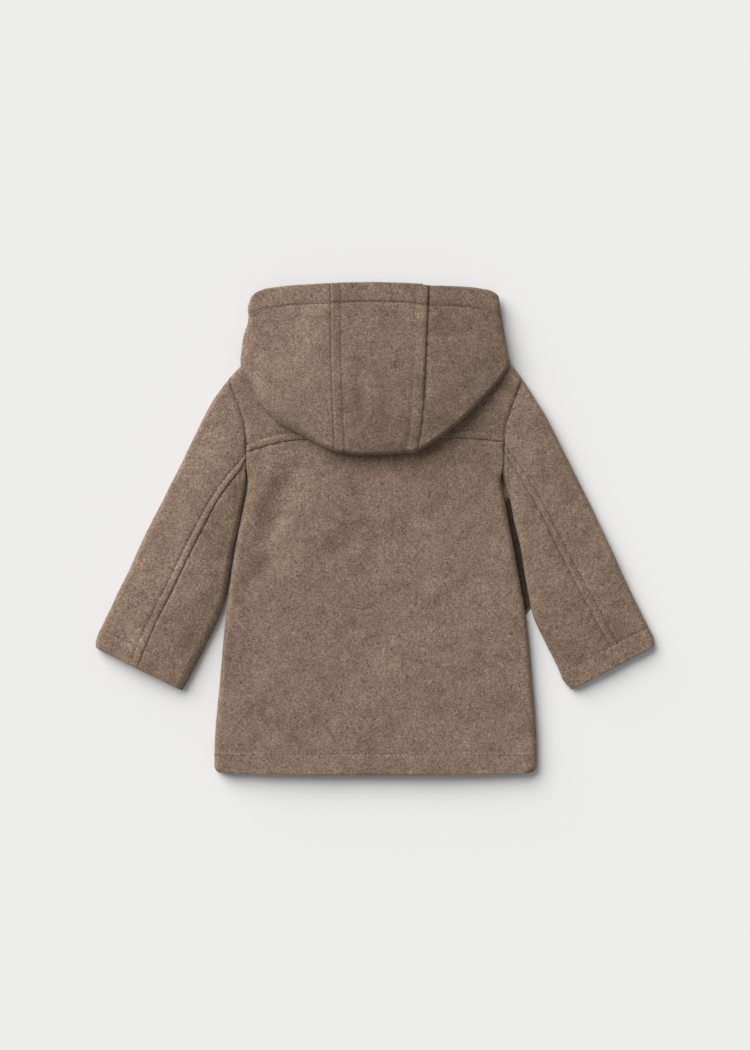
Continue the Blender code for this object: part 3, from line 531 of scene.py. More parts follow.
BODY_TABLE = np.array(BODY_SIDES)
BODY_LINES = {-1: smooth_line(BODY_TABLE[:, [0, 1]]), 1: smooth_line(BODY_TABLE[:, [0, 2]])}


def body_half(y, side):
    """Half the body's width at y, with the hem's corner rounded off."""
    line = BODY_LINES[side]
    half = np.interp(-np.asarray(y), -line[:, 0], line[:, 1])
    above = np.clip(np.asarray(y) - hem_line(side * half), 0, HEM_CORNER)
    return half - HEM_CORNER + np.sqrt(HEM_CORNER**2 - (HEM_CORNER - above) ** 2)


def side_edge(side):
    """The body's side from the hem to the underarm."""
    corner = HEM_Y + HEM_RISE
    round_part = corner + HEM_CORNER * np.linspace(0, 1, CORNER_POINTS) ** 2
    y = np.concatenate([round_part, np.linspace(corner + SIDE_START, UNDERARM_Y, LINE_POINTS)])
    return np.column_stack([side * body_half(y, side), y])


def armhole_dip(share):
    return np.sin(np.pi * np.clip(share, 0, 1)) ** DIP_POWER


def armhole(side):
    """The armhole seam, from the underarm to the shoulder's tip."""
    sections = SLEEVE_LEFT if side < 0 else SLEEVE_RIGHT
    low = np.array(sections[0][2:4])
    high = np.array(sections[0][0:2])
    t = np.linspace(0, 1, LINE_POINTS)[:, None]
    chord = high - low
    inward = np.array([-side * chord[1], side * chord[0]]) / np.linalg.norm(chord)
    return low + chord * t + inward * ARMHOLE_DIP * armhole_dip(1 - t)


def armhole_edge(side):
    """The body's side of the armhole: it overlaps the sleeve, less and less towards the shoulder's tip."""
    line = armhole(side)
    y = line[:, 1]
    rise = ease(y, UNDERARM_Y, UNDERARM_Y + ARMHOLE_EASE)
    overlap = -SLEEVE_GAP * ease(y, SHOULDER_TIP[1] - TIP_REACH, SHOULDER_TIP[1] - ARMHOLE_EASE)
    at_side = body_half(UNDERARM_Y, side) - abs(line[0, 0])
    return np.column_stack([line[:, 0] + side * (at_side + (overlap - at_side) * rise), y])


def armhole_part(side, start, stop):
    """The body's side of the armhole, between two heights on the plan."""
    line = armhole_edge(side)
    y = np.linspace(start, stop, LINE_POINTS)
    return np.column_stack([np.interp(y, line[:, 1], line[:, 0]), y])


def shoulder_line(side):
    points = [SHOULDER_TIP, *(SHOULDER_LEFT if side < 0 else SHOULDER_RIGHT)]
    return smooth_line([(side * x, y) for x, y in points])


def neckline(side):
    points = [SHOULDER_LEFT[-1], *NECKLINE]
    return smooth_line([(side * x, y) for x, y in points])


def top_line():
    """The body's whole upper edge, from the left shoulder's tip to the right one."""
    left = np.vstack([shoulder_line(-1), neckline(-1)[1:]])
    right = np.vstack([shoulder_line(1), neckline(1)[1:]])
    return np.vstack([left, right[::-1][1:]])


def top_y(x):
    line = top_line()
    return np.interp(x, line[:, 0], line[:, 1])


def yoke_line():
    return smooth_line(YOKE_SEAM)


def hood_fold_line():
    """The fold all round the hood, from the left end of its turned edge to the right end."""
    left = smooth_line(SIDE_LEFT)
    lower_left = smooth_line(LOWER_LEFT)[::-1]
    lower_right = smooth_line(LOWER_RIGHT)
    right = smooth_line(SIDE_RIGHT)[::-1]
    return np.vstack([left, lower_left[1:], smooth_line(LOWER_CENTRE)[1:-1], lower_right, right[1:]])


# --- Relief


def fold_depths(grid, folds):
    """Soft troughs and ridges, each uneven along its length and fading at its ends."""
    total = np.zeros(grid.shape[:-1])
    for number, (ax, ay, bx, by, cx, cy, width, depth) in enumerate(folds):
        line = smooth_line([(ax, ay), (bx, by), (cx, cy)])
        away, place = nearest(grid, line)
        share = place / run_length(line)[-1]
        uneven = 1 + FOLD_UNEVEN[0] * waves(grid, FOLD_UNEVEN[1], 31 + number)
        taper = FOLD_TAPER[0] + FOLD_TAPER[1] * np.sin(np.pi * np.clip(share, *FOLD_ENDS)) ** FOLD_TAPER[2]
        total -= depth * np.exp(-((away / width) ** 2)) * taper * uneven
    return total


def slack(grid, seed):
    """The gentle unevenness of heavy cloth that lies flat."""
    return sum(height * waves(grid, length, seed + k) for k, (height, length) in enumerate(SLACK_WAVES))


def seam_step(away, place, seam, height, reach):
    """A lift that is full at a seam, dies out over this reach and fades towards the seam's lower end."""
    return height * (1 - ease(away, 0.0, reach)) * ease(place, run_length(smooth_line(seam))[-1], LIFT_TOP)


def seam_relief(away, place, welt, seed, dip=SEAM_DIP):
    """Height near a seam: a soft dip, puckers, and where welt is set a raised band and a stitched trough."""
    pucker = PUCKER_HEIGHT * waves(place[..., None], PUCKER_LENGTH, seed)
    pucker = pucker * np.exp(-((away / PUCKER_REACH) ** 2))
    relief = pucker - dip * np.exp(-((away / SEAM_DIP_WIDTH) ** 2))
    if welt:
        band = np.clip(away / welt, 0, 1)
        raised = WELT_HEIGHT * np.sin(np.pi * band ** WELT_POWERS[0]) ** WELT_POWERS[1] * (away < welt)
        relief = relief + raised + stitch_trough(away - welt, place, seed + 1)
    return relief


def stitch_trough(away, place, seed):
    """The trough that a row of topstitching pulls into the cloth, deeper at each stitch's ends."""
    beat = 0.5 + 0.5 * np.cos(2 * np.pi * place / (STITCH_LENGTH + STITCH_SPACE))
    uneven = TROUGH_UNEVEN[0] * waves(place[..., None], TROUGH_UNEVEN[1], seed)
    depth = TROUGH_DEPTH * (TROUGH_BEAT[0] + TROUGH_BEAT[1] * beat + uneven)
    wide = TROUGH_SIDES[0] * depth * np.exp(-((away / (TROUGH_SIDES[1] * TROUGH_WIDTH)) ** 2))
    return -depth * np.exp(-((away / TROUGH_WIDTH) ** 2)) - wide


def nap(points, seed):
    """The felted surface's own small lumps."""
    lumps = [share * waves(points, length, seed + k, n) for k, (share, length, n) in enumerate(NAP_WAVES)]
    return NAP_HEIGHT * (lumps[0] + lumps[1])


# --- Walls of cloth


def normals(grid, inner):
    """Unit normals of a grid of points, pointing away from the wall's other face."""
    n = np.cross(np.gradient(grid, axis=0), np.gradient(grid, axis=1))
    n /= np.maximum(np.linalg.norm(n, axis=2), 1e-12)[..., None]
    middle = tuple(k // 2 for k in grid.shape[:2])
    return n * np.sign((n[middle] * (grid[middle] - inner[middle])).sum())


def rounded_edges(outer, inner, edge):
    """Both faces drawn together near the wall's four edges, so that each cut edge is round."""
    gap = np.full(outer.shape[:2], np.inf)
    for boundary in (outer[:1], outer[-1:], outer[:, :1], outer[:, -1:]):
        gap = np.minimum(gap, np.linalg.norm(outer - boundary, axis=2))
    share = np.maximum(np.sqrt(1 - (1 - np.clip(gap / edge, 0, 1)) ** 2), EDGE_LEFT)[..., None]
    middle = (outer + inner) / 2
    return middle + (outer - middle) * share, middle + (inner - middle) * share


def add_object(name, points, faces, material):
    """A smooth closed mesh of the coat, with its faces turned outwards."""
    mesh = bpy.data.meshes.new(name)
    mesh.from_pydata(points, [], faces)
    bm = bmesh.new()
    bm.from_mesh(mesh)
    bmesh.ops.recalc_face_normals(bm, faces=bm.faces)
    bm.to_mesh(mesh)
    bm.free()
    mesh.shade_smooth()
    mesh.materials.append(material)
    made = bpy.data.objects.new(name, mesh)
    bpy.context.scene.collection.objects.link(made)
    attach(made, "root")
    return made


def wall_faces(outer):
    """The faces of a closed wall between two grids of this shape."""
    rows, columns = outer.shape[:2]
    size = rows * columns
    index = np.arange(size).reshape(rows, columns)
    a = np.stack([index[:-1, :-1], index[:-1, 1:], index[1:, 1:], index[1:, :-1]], axis=-1).reshape(-1, 4)
    b = a[:, ::-1] + size
    ring = np.concatenate([index[0, :-1], index[:-1, -1], index[-1, :0:-1], index[:0:-1, 0]])
    following = np.roll(ring, -1)
    c = np.stack([ring, ring + size, following + size, following], axis=-1)
    return np.vstack([a, b, c]).tolist()


def cloth_piece(node, outer, inner, bend, dent, seed, material, edge=EDGE_ROUND):
    """The piece of the coat for a node: its wall, bent by its folds, with relief on its outer face."""
    up = normals(outer, inner)
    outer, inner = rounded_edges(outer, inner, edge)
    outer = outer + up * (bend + dent + nap(outer, seed))[..., None]
    inner = inner + up * (INNER_SHARE * bend)[..., None]
    outer[..., 2] = np.maximum(outer[..., 2], 0.0)
    inner[..., 2] = np.maximum(inner[..., 2], 0.0)
    points = np.vstack([outer.reshape(-1, 3), inner.reshape(-1, 3)]).tolist()
    piece = add_object(node + "_cloth", points, wall_faces(outer), material)
    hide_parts(node)
    return outer


# --- Stitches


def stitch_row(line, seed):
    """Thread stitches along a line of surface points: rows of short, round, slightly tilted bars."""
    draw = np.random.default_rng(seed)
    run = run_length(line)
    pitch = STITCH_LENGTH + STITCH_SPACE
    count = int(run[-1] // pitch)
    shares, arch, girth = np.array(STITCH_FORM).T
    arch = arch * THREAD * 0.5
    girth = girth * THREAD * 0.5
    turn = np.linspace(0, 2 * np.pi, STITCH_SIDES + 1)[:-1]
    points, faces = [], []
    for k in range(count):
        start = k * pitch + draw.normal(0, STITCH_JITTER[0])
        place = start + shares * STITCH_LENGTH
        core = np.column_stack([np.interp(place, run, line[:, c]) for c in range(3)])
        heading = core[-1] - core[0]
        heading /= np.linalg.norm(heading)
        up = np.array([0, 0, 1.0])
        beside = np.cross(heading, up)
        beside /= np.linalg.norm(beside)
        up = np.cross(beside, heading)
        lean = draw.normal(0, STITCH_JITTER[1])
        base = len(points)
        for c, lift, radius, share in zip(core, arch, girth, shares):
            middle = c + up * (lift + STITCH_SAG * THREAD) + beside * lean * (2 * share - 1)
            for angle in turn:
                points.append(middle + radius * (beside * np.cos(angle) + up * np.sin(angle)))
        for ring in range(len(shares) - 1):
            for side in range(STITCH_SIDES):
                a = base + ring * STITCH_SIDES + side
                b = base + ring * STITCH_SIDES + (side + 1) % STITCH_SIDES
                faces.append((a, b, b + STITCH_SIDES, a + STITCH_SIDES))
        faces.append(tuple(base + side for side in range(STITCH_SIDES))[::-1])
        faces.append(tuple(base + (len(shares) - 1) * STITCH_SIDES + side for side in range(STITCH_SIDES)))
    return points, faces


def stitches(node, rows, material):
    """All the stitch rows of one piece, as one mesh."""
    name = node + "_stitches"
    points, faces = [], []
    for number, row in enumerate(rows):
        more, around = stitch_row(row, 500 + 7 * number + len(name))
        faces += [tuple(i + len(points) for i in face) for face in around]
        points += more
    add_object(name, [tuple(p) for p in points], faces, material)


def grid_row(outer, target, boundary):
    """The line on a face's grid that runs at a distance from one of its boundaries."""
    if boundary in ("start", "end"):
        order = outer if boundary == "start" else outer[::-1]
    else:
        order = outer.transpose(1, 0, 2)
        order = order if boundary == "left" else order[::-1]
    steps = np.linalg.norm(np.diff(order[..., :2], axis=0), axis=2)
    run = np.concatenate([np.zeros((1, order.shape[1])), np.cumsum(steps, axis=0)])
    line = []
    for column in range(order.shape[1]):
        line.append([np.interp(target, run[:, column], order[:, column, c]) for c in range(3)])
    return np.array(line)


# --- Materials


def fill(tree, node, values):
    """Gives each of a node's sockets its value, or a link where that value is another socket."""
    for key, value in values.items():
        if isinstance(value, bpy.types.NodeSocket):
            tree.links.new(value, node.inputs[key])
        else:
            node.inputs[key].default_value = value
    return node


def wool_material(name, tint):
    """Felted wool: beige and dark brown fibres mixed at random over a mid brown, with a soft nap."""
    material = bpy.data.materials.new(name)
    material.use_nodes = True
    tree = material.node_tree
    tree.nodes.clear()

    def add(kind, values=()):
        return fill(tree, tree.nodes.new("ShaderNode" + kind), dict(values))

    place = add("TexCoord").outputs["Object"]

    def noise(scale, detail, rough, stretch, turn, distortion):
        mapping = add("Mapping", {"Vector": place, "Rotation": (0, 0, turn), "Scale": stretch})
        values = {"Scale": scale, "Detail": detail, "Roughness": rough, "Distortion": distortion}
        return add("TexNoise", {"Vector": mapping.outputs["Vector"], **values}).outputs["Fac"]

    def math(kind, *values):
        made = add("Math", enumerate(values))
        made.operation = kind
        return made.outputs[0]

    def spread(value, low, high):
        made = add("MapRange", {"Value": value, "From Min": low, "From Max": high})
        made.interpolation_type = "SMOOTHSTEP"
        return made.outputs["Result"]

    def blend(share, a, b):
        made = add("Mix")
        made.data_type = "RGBA"
        return fill(tree, made, {"Factor": share, "A": a, "B": b}).outputs["Result"]

    noises = {key: noise(*row) for key, row in NOISES.items()}
    flecks = math("MAXIMUM", noises["fibre_a"], noises["fibre_b"])
    dark, mid, light = (tuple(c * tint for c in colour) + (1.0,) for colour in (DARK, MID, LIGHT))
    base = blend(spread(noises["mottle"], *MOTTLE_RANGE), dark, mid)
    base = blend(spread(flecks, *FLECK_RANGE), base, light)
    base = blend(spread(noises["specks"], *SPECK_RANGE), base, dark)
    patches, clouds, grain = (math("MULTIPLY_ADD", noises[key], *row) for key, row in SHADES.items())
    scaled = add("VectorMath", {0: base})
    scaled.operation = "SCALE"
    fill(tree, scaled, {"Scale": math("MULTIPLY", math("MULTIPLY", patches, clouds), grain)})
    lumps = (flecks, noises["mottle"], noises["grain"])
    heights = [math("MULTIPLY", lump, share) for lump, share in zip(lumps, BUMP_SHARES)]
    height = math("ADD", math("ADD", heights[0], heights[1]), heights[2])
    bump = add("Bump", {**BUMP, "Height": height})
    links = {"Base Color": scaled.outputs["Vector"], "Normal": bump.outputs["Normal"]}
    shader = add("BsdfPrincipled", {**FINISH, **links})
    add("OutputMaterial", {"Surface": shader.outputs["BSDF"]})
    return material


# --- Body


def body_top(grid):
    x, y = grid[..., 0], grid[..., 1]
    half = np.where(x < 0, body_half(y, -1), body_half(y, 1))
    height = BODY_HEIGHT + BODY_CROWN * np.clip(1 - (x / half) ** 2, 0, 1)
    return height + TURN_UP * ease(hem_line(x) + HEM_DEPTH - y, -BAND_EASE, BAND_EASE)


def body_depth(grid):
    edges = [distance(grid, side_edge(side)) for side in (-1, 1)]
    edges += [distance(grid, shoulder_line(side)) for side in (-1, 1)]
    return np.minimum.reduce(edges)


def back_faces(grid):
    """The outer and inner faces of the back, over any flat grid inside its outline."""
    top = body_top(grid)
    depth = body_depth(grid)
    outer = rolled(top, SIDE_SEAM_Z + FOLD_LIP, depth, BODY_ROLL)
    inner = rolled(top - CLOTH, SIDE_SEAM_Z, depth - CLOTH, BODY_ROLL - CLOTH)
    return with_height(grid, outer), with_height(grid, inner), depth


def hem_relief(grid, seed):
    """The trough of the hem's topstitching."""
    up = grid[..., 1] - hem_line(grid[..., 0]) - HEM_DEPTH
    return stitch_trough(up, grid[..., 0], seed)


def back_panel(material):
    width, length = GRID_SIZES["back_panel"]
    across = spaced(width, ROLL_STEPS, ROLL_STEPS, PITCH)
    along = spaced(length, turned_steps(HEM_DEPTH), CUT_STEPS, PITCH)
    x = np.linspace(-1, 1, 2 * LINE_POINTS)
    corner = HEM_Y + HEM_RISE
    start = np.where(x < 0, body_half(corner, -1), body_half(corner, 1)) * x
    hem = np.column_stack([start, hem_line(start)])
    seam = yoke_line() - (0, SEAM_GAP / 2)
    left = np.vstack([side_edge(-1), armhole_part(-1, UNDERARM_Y, seam[0, 1])[1:]])
    right = np.vstack([side_edge(1), armhole_part(1, UNDERARM_Y, seam[-1, 1])[1:]])
    seam = joined(seam, left[-1], right[-1])
    hem = joined(hem, left[0], right[0])
    grid = patch(hem, seam, left, right, across, along)
    outer, inner, depth = back_faces(grid)
    away, place = nearest(grid, yoke_line())
    bend = (fold_depths(grid, FOLDS) + slack(grid, seed=3)) * ease(depth, 0.0, FOLD_FADE)
    dent = seam_relief(away, place, welt=0, seed=5) + hem_relief(grid, seed=8) * ease(depth, 0.0, STITCH_FADE)
    return cloth_piece("back_panel", outer, inner, bend, dent, 11, material)


def back_yoke(material):
    width, length = GRID_SIZES["back_yoke"]
    across = spaced(width, CUT_STEPS, CUT_STEPS, PITCH)
    along = spaced(length, WELT_STEPS, ROLL_STEPS, PITCH)
    seam = yoke_line() + (0, SEAM_GAP / 2)
    sides = [armhole_part(side, seam[0 if side < 0 else -1, 1], SHOULDER_TIP[1]) for side in (-1, 1)]
    top = joined(top_line(), sides[0][-1], sides[1][-1])
    seam = joined(seam, sides[0][0], sides[1][0])
    grid = patch(seam, top, sides[0], sides[1], across, along)
    outer, inner, depth = back_faces(grid)
    away, place = nearest(grid, yoke_line())
    bend = slack(grid, seed=3) * ease(depth, 0.0, FOLD_FADE)
    bend = bend + fold_depths(grid, FOLDS) * ease(away, YOKE_FOLD_REACH, 0.0)
    dent = seam_relief(away, place, STITCH_OFFSET, seed=6)
    for side in (-1, 1):
        gap, run = nearest(grid, armhole(side))
        dent = dent + seam_relief(gap, run, 0, 21 + side, ARMHOLE_SEAM_DIP[side])
    return cloth_piece("back_yoke", outer, inner, bend, dent, 13, material)


def web_edge(edge):
    """The right front's edge, which shows in the gap beside the sleeve."""
    sleeve = smooth_line(np.array(SLEEVE_RIGHT)[:, 2:4])
    reach = np.interp(-edge[:, 1], -sleeve[:, 1], sleeve[:, 0]) - WEB_GAP
    show = ease(edge[:, 1], WEB_ENDS[0], WEB_ENDS[0] - WEB_EASE[0])
    show = show * ease(edge[:, 1], WEB_ENDS[1] - WEB_EASE[1], WEB_ENDS[1])
    return edge[:, 0] + show * np.maximum(reach - edge[:, 0], 0)


def front(name, side, material, painted_shade):
    """A front, from its side seam across to the far edge of the lap. It lies flat under the back."""
    lap = -side * LAP_HALF
    outer_edge = np.vstack([side_edge(side), armhole_edge(side)[1:]])
    if side > 0:
        outer_edge[:, 0] = web_edge(outer_edge)
    ramp = side * (LAP_HALF + LAP_RAMP)
    top = np.vstack([shoulder_line(side), neckline(side)[1:]])
    top = top[top[:, 0] * side > LAP_HALF + LAP_RAMP]
    edge = np.column_stack([np.full(2, ramp), [hem_line(ramp), top_y(ramp)]])
    hem_x = np.linspace(outer_edge[0, 0], ramp, LINE_POINTS)
    hem = joined(np.column_stack([hem_x, hem_line(hem_x)]), outer_edge[0], edge[0])
    top = joined(top, outer_edge[-1], edge[-1])
    width, length = GRID_SIZES["front"]
    along = spaced(length, turned_steps(HEM_DEPTH), CUT_STEPS, FRONT_PITCH)
    across = spaced(width, CUT_STEPS, (0.0,), FRONT_PITCH)
    grid = patch(hem, top, outer_edge, edge, across, along)
    inward = list(np.linspace(ramp, side * (LAP_HALF + SEAM_GAP), LAP_COLUMNS[0])[1:])
    inward += list(np.linspace(side * LAP_HALF, lap + side * CUT_STEPS[-1], LAP_COLUMNS[1])[1:])
    inward += [lap + side * s for s in CUT_STEPS[::-1][1:]]
    for x in inward:
        y = hem_line(x) + along * (top_y(x) - hem_line(x))
        grid = np.concatenate([grid, np.column_stack([np.full(len(along), x), y])[:, None]], axis=1)
    lift = np.zeros(grid.shape[:-1])
    if side > 0:
        lift = (CLOTH + SEAM_GAP) * ease(grid[..., 0], LAP_HALF + LAP_RAMP, LAP_HALF + SEAM_GAP)
    rim = np.clip(distance(grid, side_edge(side)) / CLOTH, 0, 1)
    under = FRONT_THINNING * CLOTH * (1 - np.sqrt(1 - (1 - rim) ** 2))
    thickness = CLOTH
    if side > 0:
        beyond = grid[..., 0] - body_half(grid[..., 1], side)
        thickness = CLOTH * (1 - WEB_THINNING * ease(beyond, *WEB_EDGE))
    shown = with_height(grid, under * thickness / CLOTH + lift)
    hidden = with_height(grid, thickness + lift)
    dent = hem_relief(grid, 40 + side) * FRONT_HEM
    cloth_piece(name, shown, hidden, np.zeros(grid.shape[:-1]), dent, 17 + side, material)
    if side > 0:
        # its upward faces in the gap beside the sleeve get the near-black wool: painted shade, since the gap
        # lies in shadow
        piece = bpy.data.objects[name + "_cloth"]
        piece.data.materials.append(painted_shade)
        for polygon in piece.data.polygons:
            x, y, _ = polygon.center
            in_painted_shade = body_half(y, side) - x < WEB_PAINTED_SHADE and WEB_ENDS[1] < y < WEB_PAINTED_SHADE_TOP
            if in_painted_shade and polygon.normal.z > FACES_UP:
                polygon.material_index = 1


# --- Sleeves


def seam_share(start, end, seam):
    """How far along the chord from start to end a seam line crosses it."""
    chord = end - start
    to_seam = seam - start
    beside = chord[0] * to_seam[:, 1] - chord[1] * to_seam[:, 0]
    beyond = (to_seam @ chord) / (chord @ chord)
    order = np.argsort(beside)
    return np.interp(0.0, beside[order], beyond[order])


def sleeve_plan(sections, side, stations):
    """Outer point, inner point, seam share, inward direction and bow of each ring."""
    table = np.array(sections)
    outer = smooth_line(table[:, 0:2])
    inner = smooth_line(table[:, 2:4])
    share = smooth_line(table[:, [4, 4]])[:, :1]
    seam_line = outer + (inner - outer) * share
    before = np.minimum(stations, 0)[:, None] * SLEEVE_LENGTH
    o = at_shares(outer, stations) + before * (outer[1] - outer[0]) / np.linalg.norm(outer[1] - outer[0])
    i = at_shares(inner, stations) + before * (inner[1] - inner[0]) / np.linalg.norm(inner[1] - inner[0])
    seam = np.array([seam_share(a, b, seam_line) for a, b in zip(o, i)])
    chord = i - o
    inward = np.column_stack([side * chord[:, 1], -side * chord[:, 0]])
    inward /= np.linalg.norm(chord, axis=1)[:, None]
    bow = ARMHOLE_DIP * (1 - ease(np.asarray(stations), 0.0, BOW_REACH))
    return o, i, seam, inward, bow


def ring_points(width, seam_width, under_width, fold, extra, rise, height, reference):
    """Distances from the fold and heights of both faces, from the top seam round the fold to the lower."""
    roll, middle, slant = fold
    flat_top = reference - spaced(reference - roll, WELT_STEPS, (0.0,), PITCH)[:-1] * (reference - roll)
    flat_top = stretch_flat(flat_top, reference, seam_width, STITCH_OFFSET + WELT_BEYOND, roll)
    turn = np.radians(np.linspace(90, 0, TURN_POINTS[0]))
    turn_under = np.radians(np.linspace(0, -90, TURN_POINTS[1])[1:])
    out = np.cos(turn).clip(0) ** slant
    up = np.sin(turn) ** slant
    flat_under = np.linspace(UNDER_ROLL, under_width, TURN_POINTS[2])[1:]
    top = height + rise * np.sin(np.pi * np.clip(flat_top / width, 0, 1))
    peak = height + rise * np.sin(np.pi * roll / width)
    outer_a = [*flat_top, *(roll * (1 - out))]
    outer_z = [*(top + extra), *(middle + (peak + extra - middle) * up)]
    inner_a = [*flat_top, *(roll - (roll - CLOTH) * out)]
    inner_z = [*(top - CLOTH), *(middle + (peak - CLOTH - middle) * up)]
    outer_a += [*(UNDER_ROLL * (1 - np.cos(turn_under))), *flat_under]
    outer_z += [*(middle * (1 + np.sin(turn_under))), *(0 * flat_under)]
    inner_a += [*(UNDER_ROLL - (UNDER_ROLL - CLOTH) * np.cos(turn_under)), *flat_under]
    inner_z += [*(middle + (middle - CLOTH) * np.sin(turn_under)), *(CLOTH + 0 * flat_under)]
    return [np.array(v) for v in (outer_a, outer_z, inner_a, inner_z)]


def sleeve_piece(name, sections, side, outer_fold, cuff_show, seed, material):
    """A top sleeve round the outer fold, or an under sleeve round the underarm fold."""
    start = spaced(SLEEVE_LENGTH, SLEEVE_STEPS, turned_steps(CUFF_DEPTH), PITCH)
    stations = np.concatenate([[share * SLEEVE_START for share in START_SHARES], start])
    o, i, seam, inward, bow = sleeve_plan(sections, side, stations)
    fold = (OUTER_ROLL, OUTER_FOLD_Z, 1.0) if outer_fold else (INNER_ROLL[side], INNER_FOLD_Z, INNER_SLANT)
    outer, inner = [], []
    widths = np.linalg.norm(i - o, axis=1)
    top_share = seam if outer_fold else 1 - seam
    under_share = UNDER_SEAM_SHARE if outer_fold else 1 - UNDER_SEAM_SHARE
    reference = np.median(widths * top_share)
    for k, station in enumerate(stations):
        width = widths[k]
        heading = (i[k] - o[k]) / width
        to_cuff = (1 - station) * SLEEVE_LENGTH
        extra = TURN_UP * float(ease(to_cuff, CUFF_DEPTH + BAND_EASE, CUFF_DEPTH - BAND_EASE))
        rise = ARMHOLE_CROWN + (SLEEVE_CROWN - ARMHOLE_CROWN) * float(ease(station, 0.0, CROWN_RISE))
        pressed = float(ease(to_cuff, PRESS_REACH, 0.0))
        height = SLEEVE_HEIGHT - CUFF_PRESS[side] * pressed
        rise = rise * (1 - CUFF_FLAT[side] * pressed)
        sunk = TUCK_DEPTH * float(ease(station * SLEEVE_LENGTH, TUCK_REACH, TUCK_FULL))
        seam_width = width * top_share[k] - SEAM_GAP / 2
        under_width = width * under_share - SEAM_GAP / 2
        a, z, b, y = ring_points(width, seam_width, under_width, fold, extra - sunk, rise, height, reference)
        for rows, across, height in ((outer, a, z), (inner, b, y)):
            run = across if outer_fold else width - across
            dip = bow[k] * armhole_dip(run / width)
            plan = o[k] + heading * run[:, None] + inward[k] * dip[:, None]
            rows.append(np.column_stack([plan, height]))
    outer = np.array(outer)
    inner = np.array(inner)
    grid = outer[..., :2]
    turned_over = np.argmax(outer[-1, :, 2] < SLEEVE_HEIGHT * UPPER_SHARE)
    upper = ease(outer[..., 2], *RELIEF_HEIGHTS) * (np.arange(outer.shape[1]) <= turned_over)
    away = np.linalg.norm(outer - outer[:, :1], axis=2)
    steps = np.linalg.norm(np.diff(grid, axis=0), axis=2)
    from_cuff = np.concatenate([np.cumsum(steps[::-1], axis=0)[::-1], np.zeros((1, grid.shape[1]))])
    place = from_cuff[:1] - from_cuff
    around = np.broadcast_to(run_length(outer[-1])[None], away.shape)
    bend = (fold_depths(grid, FOLDS) + slack(grid, seed)) * upper * ease(place, 0.0, ARMHOLE_FADE)
    faint = ease(from_cuff, CUFF_FAINT[0] * CUFF_DEPTH, CUFF_FAINT[1] * CUFF_DEPTH)
    if side < 0:
        faint = faint * (1 - SEAM_FADE[2] * ease(from_cuff, SEAM_FADE[0], SEAM_FADE[1]))
    welt = STITCH_OFFSET if outer_fold else 0
    dent = seam_relief(away, place, welt, seed + 3, SLEEVE_SEAM_DIP)
    dent = dent * (FAINT_DENT + (1 - FAINT_DENT) * faint) * upper
    dent = dent + cuff_show * stitch_trough(from_cuff - CUFF_DEPTH, around, seed + 9)
    if side < 0 and outer_fold:
        gap = distance(grid, armhole(side))
        dent = dent - ARMHOLE_GROOVE * np.exp(-((gap / SEAM_DIP_WIDTH) ** 2)) * upper
    edge = EDGE_ROUND * (FAINT_EDGE + (1 - FAINT_EDGE) * faint)
    return cloth_piece(name, outer, inner, bend, dent, seed, material, edge)


def stretch_flat(a, reference, wanted, beyond, roll):
    """Keeps the band beside the seam at its real width and stretches the rest to the ring's own seam."""
    from_seam = reference - a
    stretch = (wanted - roll - beyond) / (reference - roll - beyond)
    return np.where(from_seam < beyond, wanted - from_seam, roll + (a - roll) * stretch)


# --- Hood


def hood_roof(grid):
    table = np.array(HOOD_ROOF)
    middle = smooth_line(table[:, [0, 1]])
    sides = smooth_line(table[:, [0, 2]])
    height = np.interp(-grid[..., 1], -middle[:, 0], middle[:, 1])
    lower = np.interp(-grid[..., 1], -sides[:, 0], sides[:, 1])
    return height - lower * (grid[..., 0] / HOOD_HALF) ** 2


def hood_soft(grid):
    """1 along the hood's lower left edge, which lies softly on the yoke, and 0 away from it."""
    return ease(-grid[..., 0], *SOFT_X) * ease(grid[..., 1], *SOFT_Y)


def hood_roll(grid):
    return HOOD_ROLL + (SOFT_ROLL - HOOD_ROLL) * hood_soft(grid)


def inner_roll(grid):
    return np.maximum(hood_roll(grid) - CLOTH, INNER_HOOD_ROLL)


def hood_low(grid):
    over_yoke = body_top(grid) + HOOD_LIFT + (SOFT_LIFT - HOOD_LIFT) * hood_soft(grid)
    return HOOD_SEAM_Z + (over_yoke - HOOD_SEAM_Z) * ease(grid[..., 1], *SHOULDER_RAMP)


def rim_line():
    return np.vstack([smooth_line(RIM_LEFT)[::-1], smooth_line(RIM_CENTRE)[1:-1], smooth_line(RIM_RIGHT)])


def hood_faces(grid):
    depth = distance(grid, hood_fold_line())
    low = hood_low(grid)
    roof = hood_roof(grid)
    rim, place = nearest(grid, rim_line())
    turned = RIM_TURN_UP * ease(rim, RIM_DEPTH + RIM_EASE, RIM_DEPTH - RIM_EASE)
    outer = rolled(roof + turned / 2, low + FOLD_LIP, depth, hood_roll(grid))
    inner = rolled(roof - CLOTH - turned / 2, low, depth - CLOTH, inner_roll(grid))
    return with_height(grid, outer), with_height(grid, inner), depth, rim, place


def hood_bend(grid, depth):
    return (fold_depths(grid, HOOD_FOLDS) + slack(grid, seed=71)) * ease(depth, 0.0, HOOD_FADE)


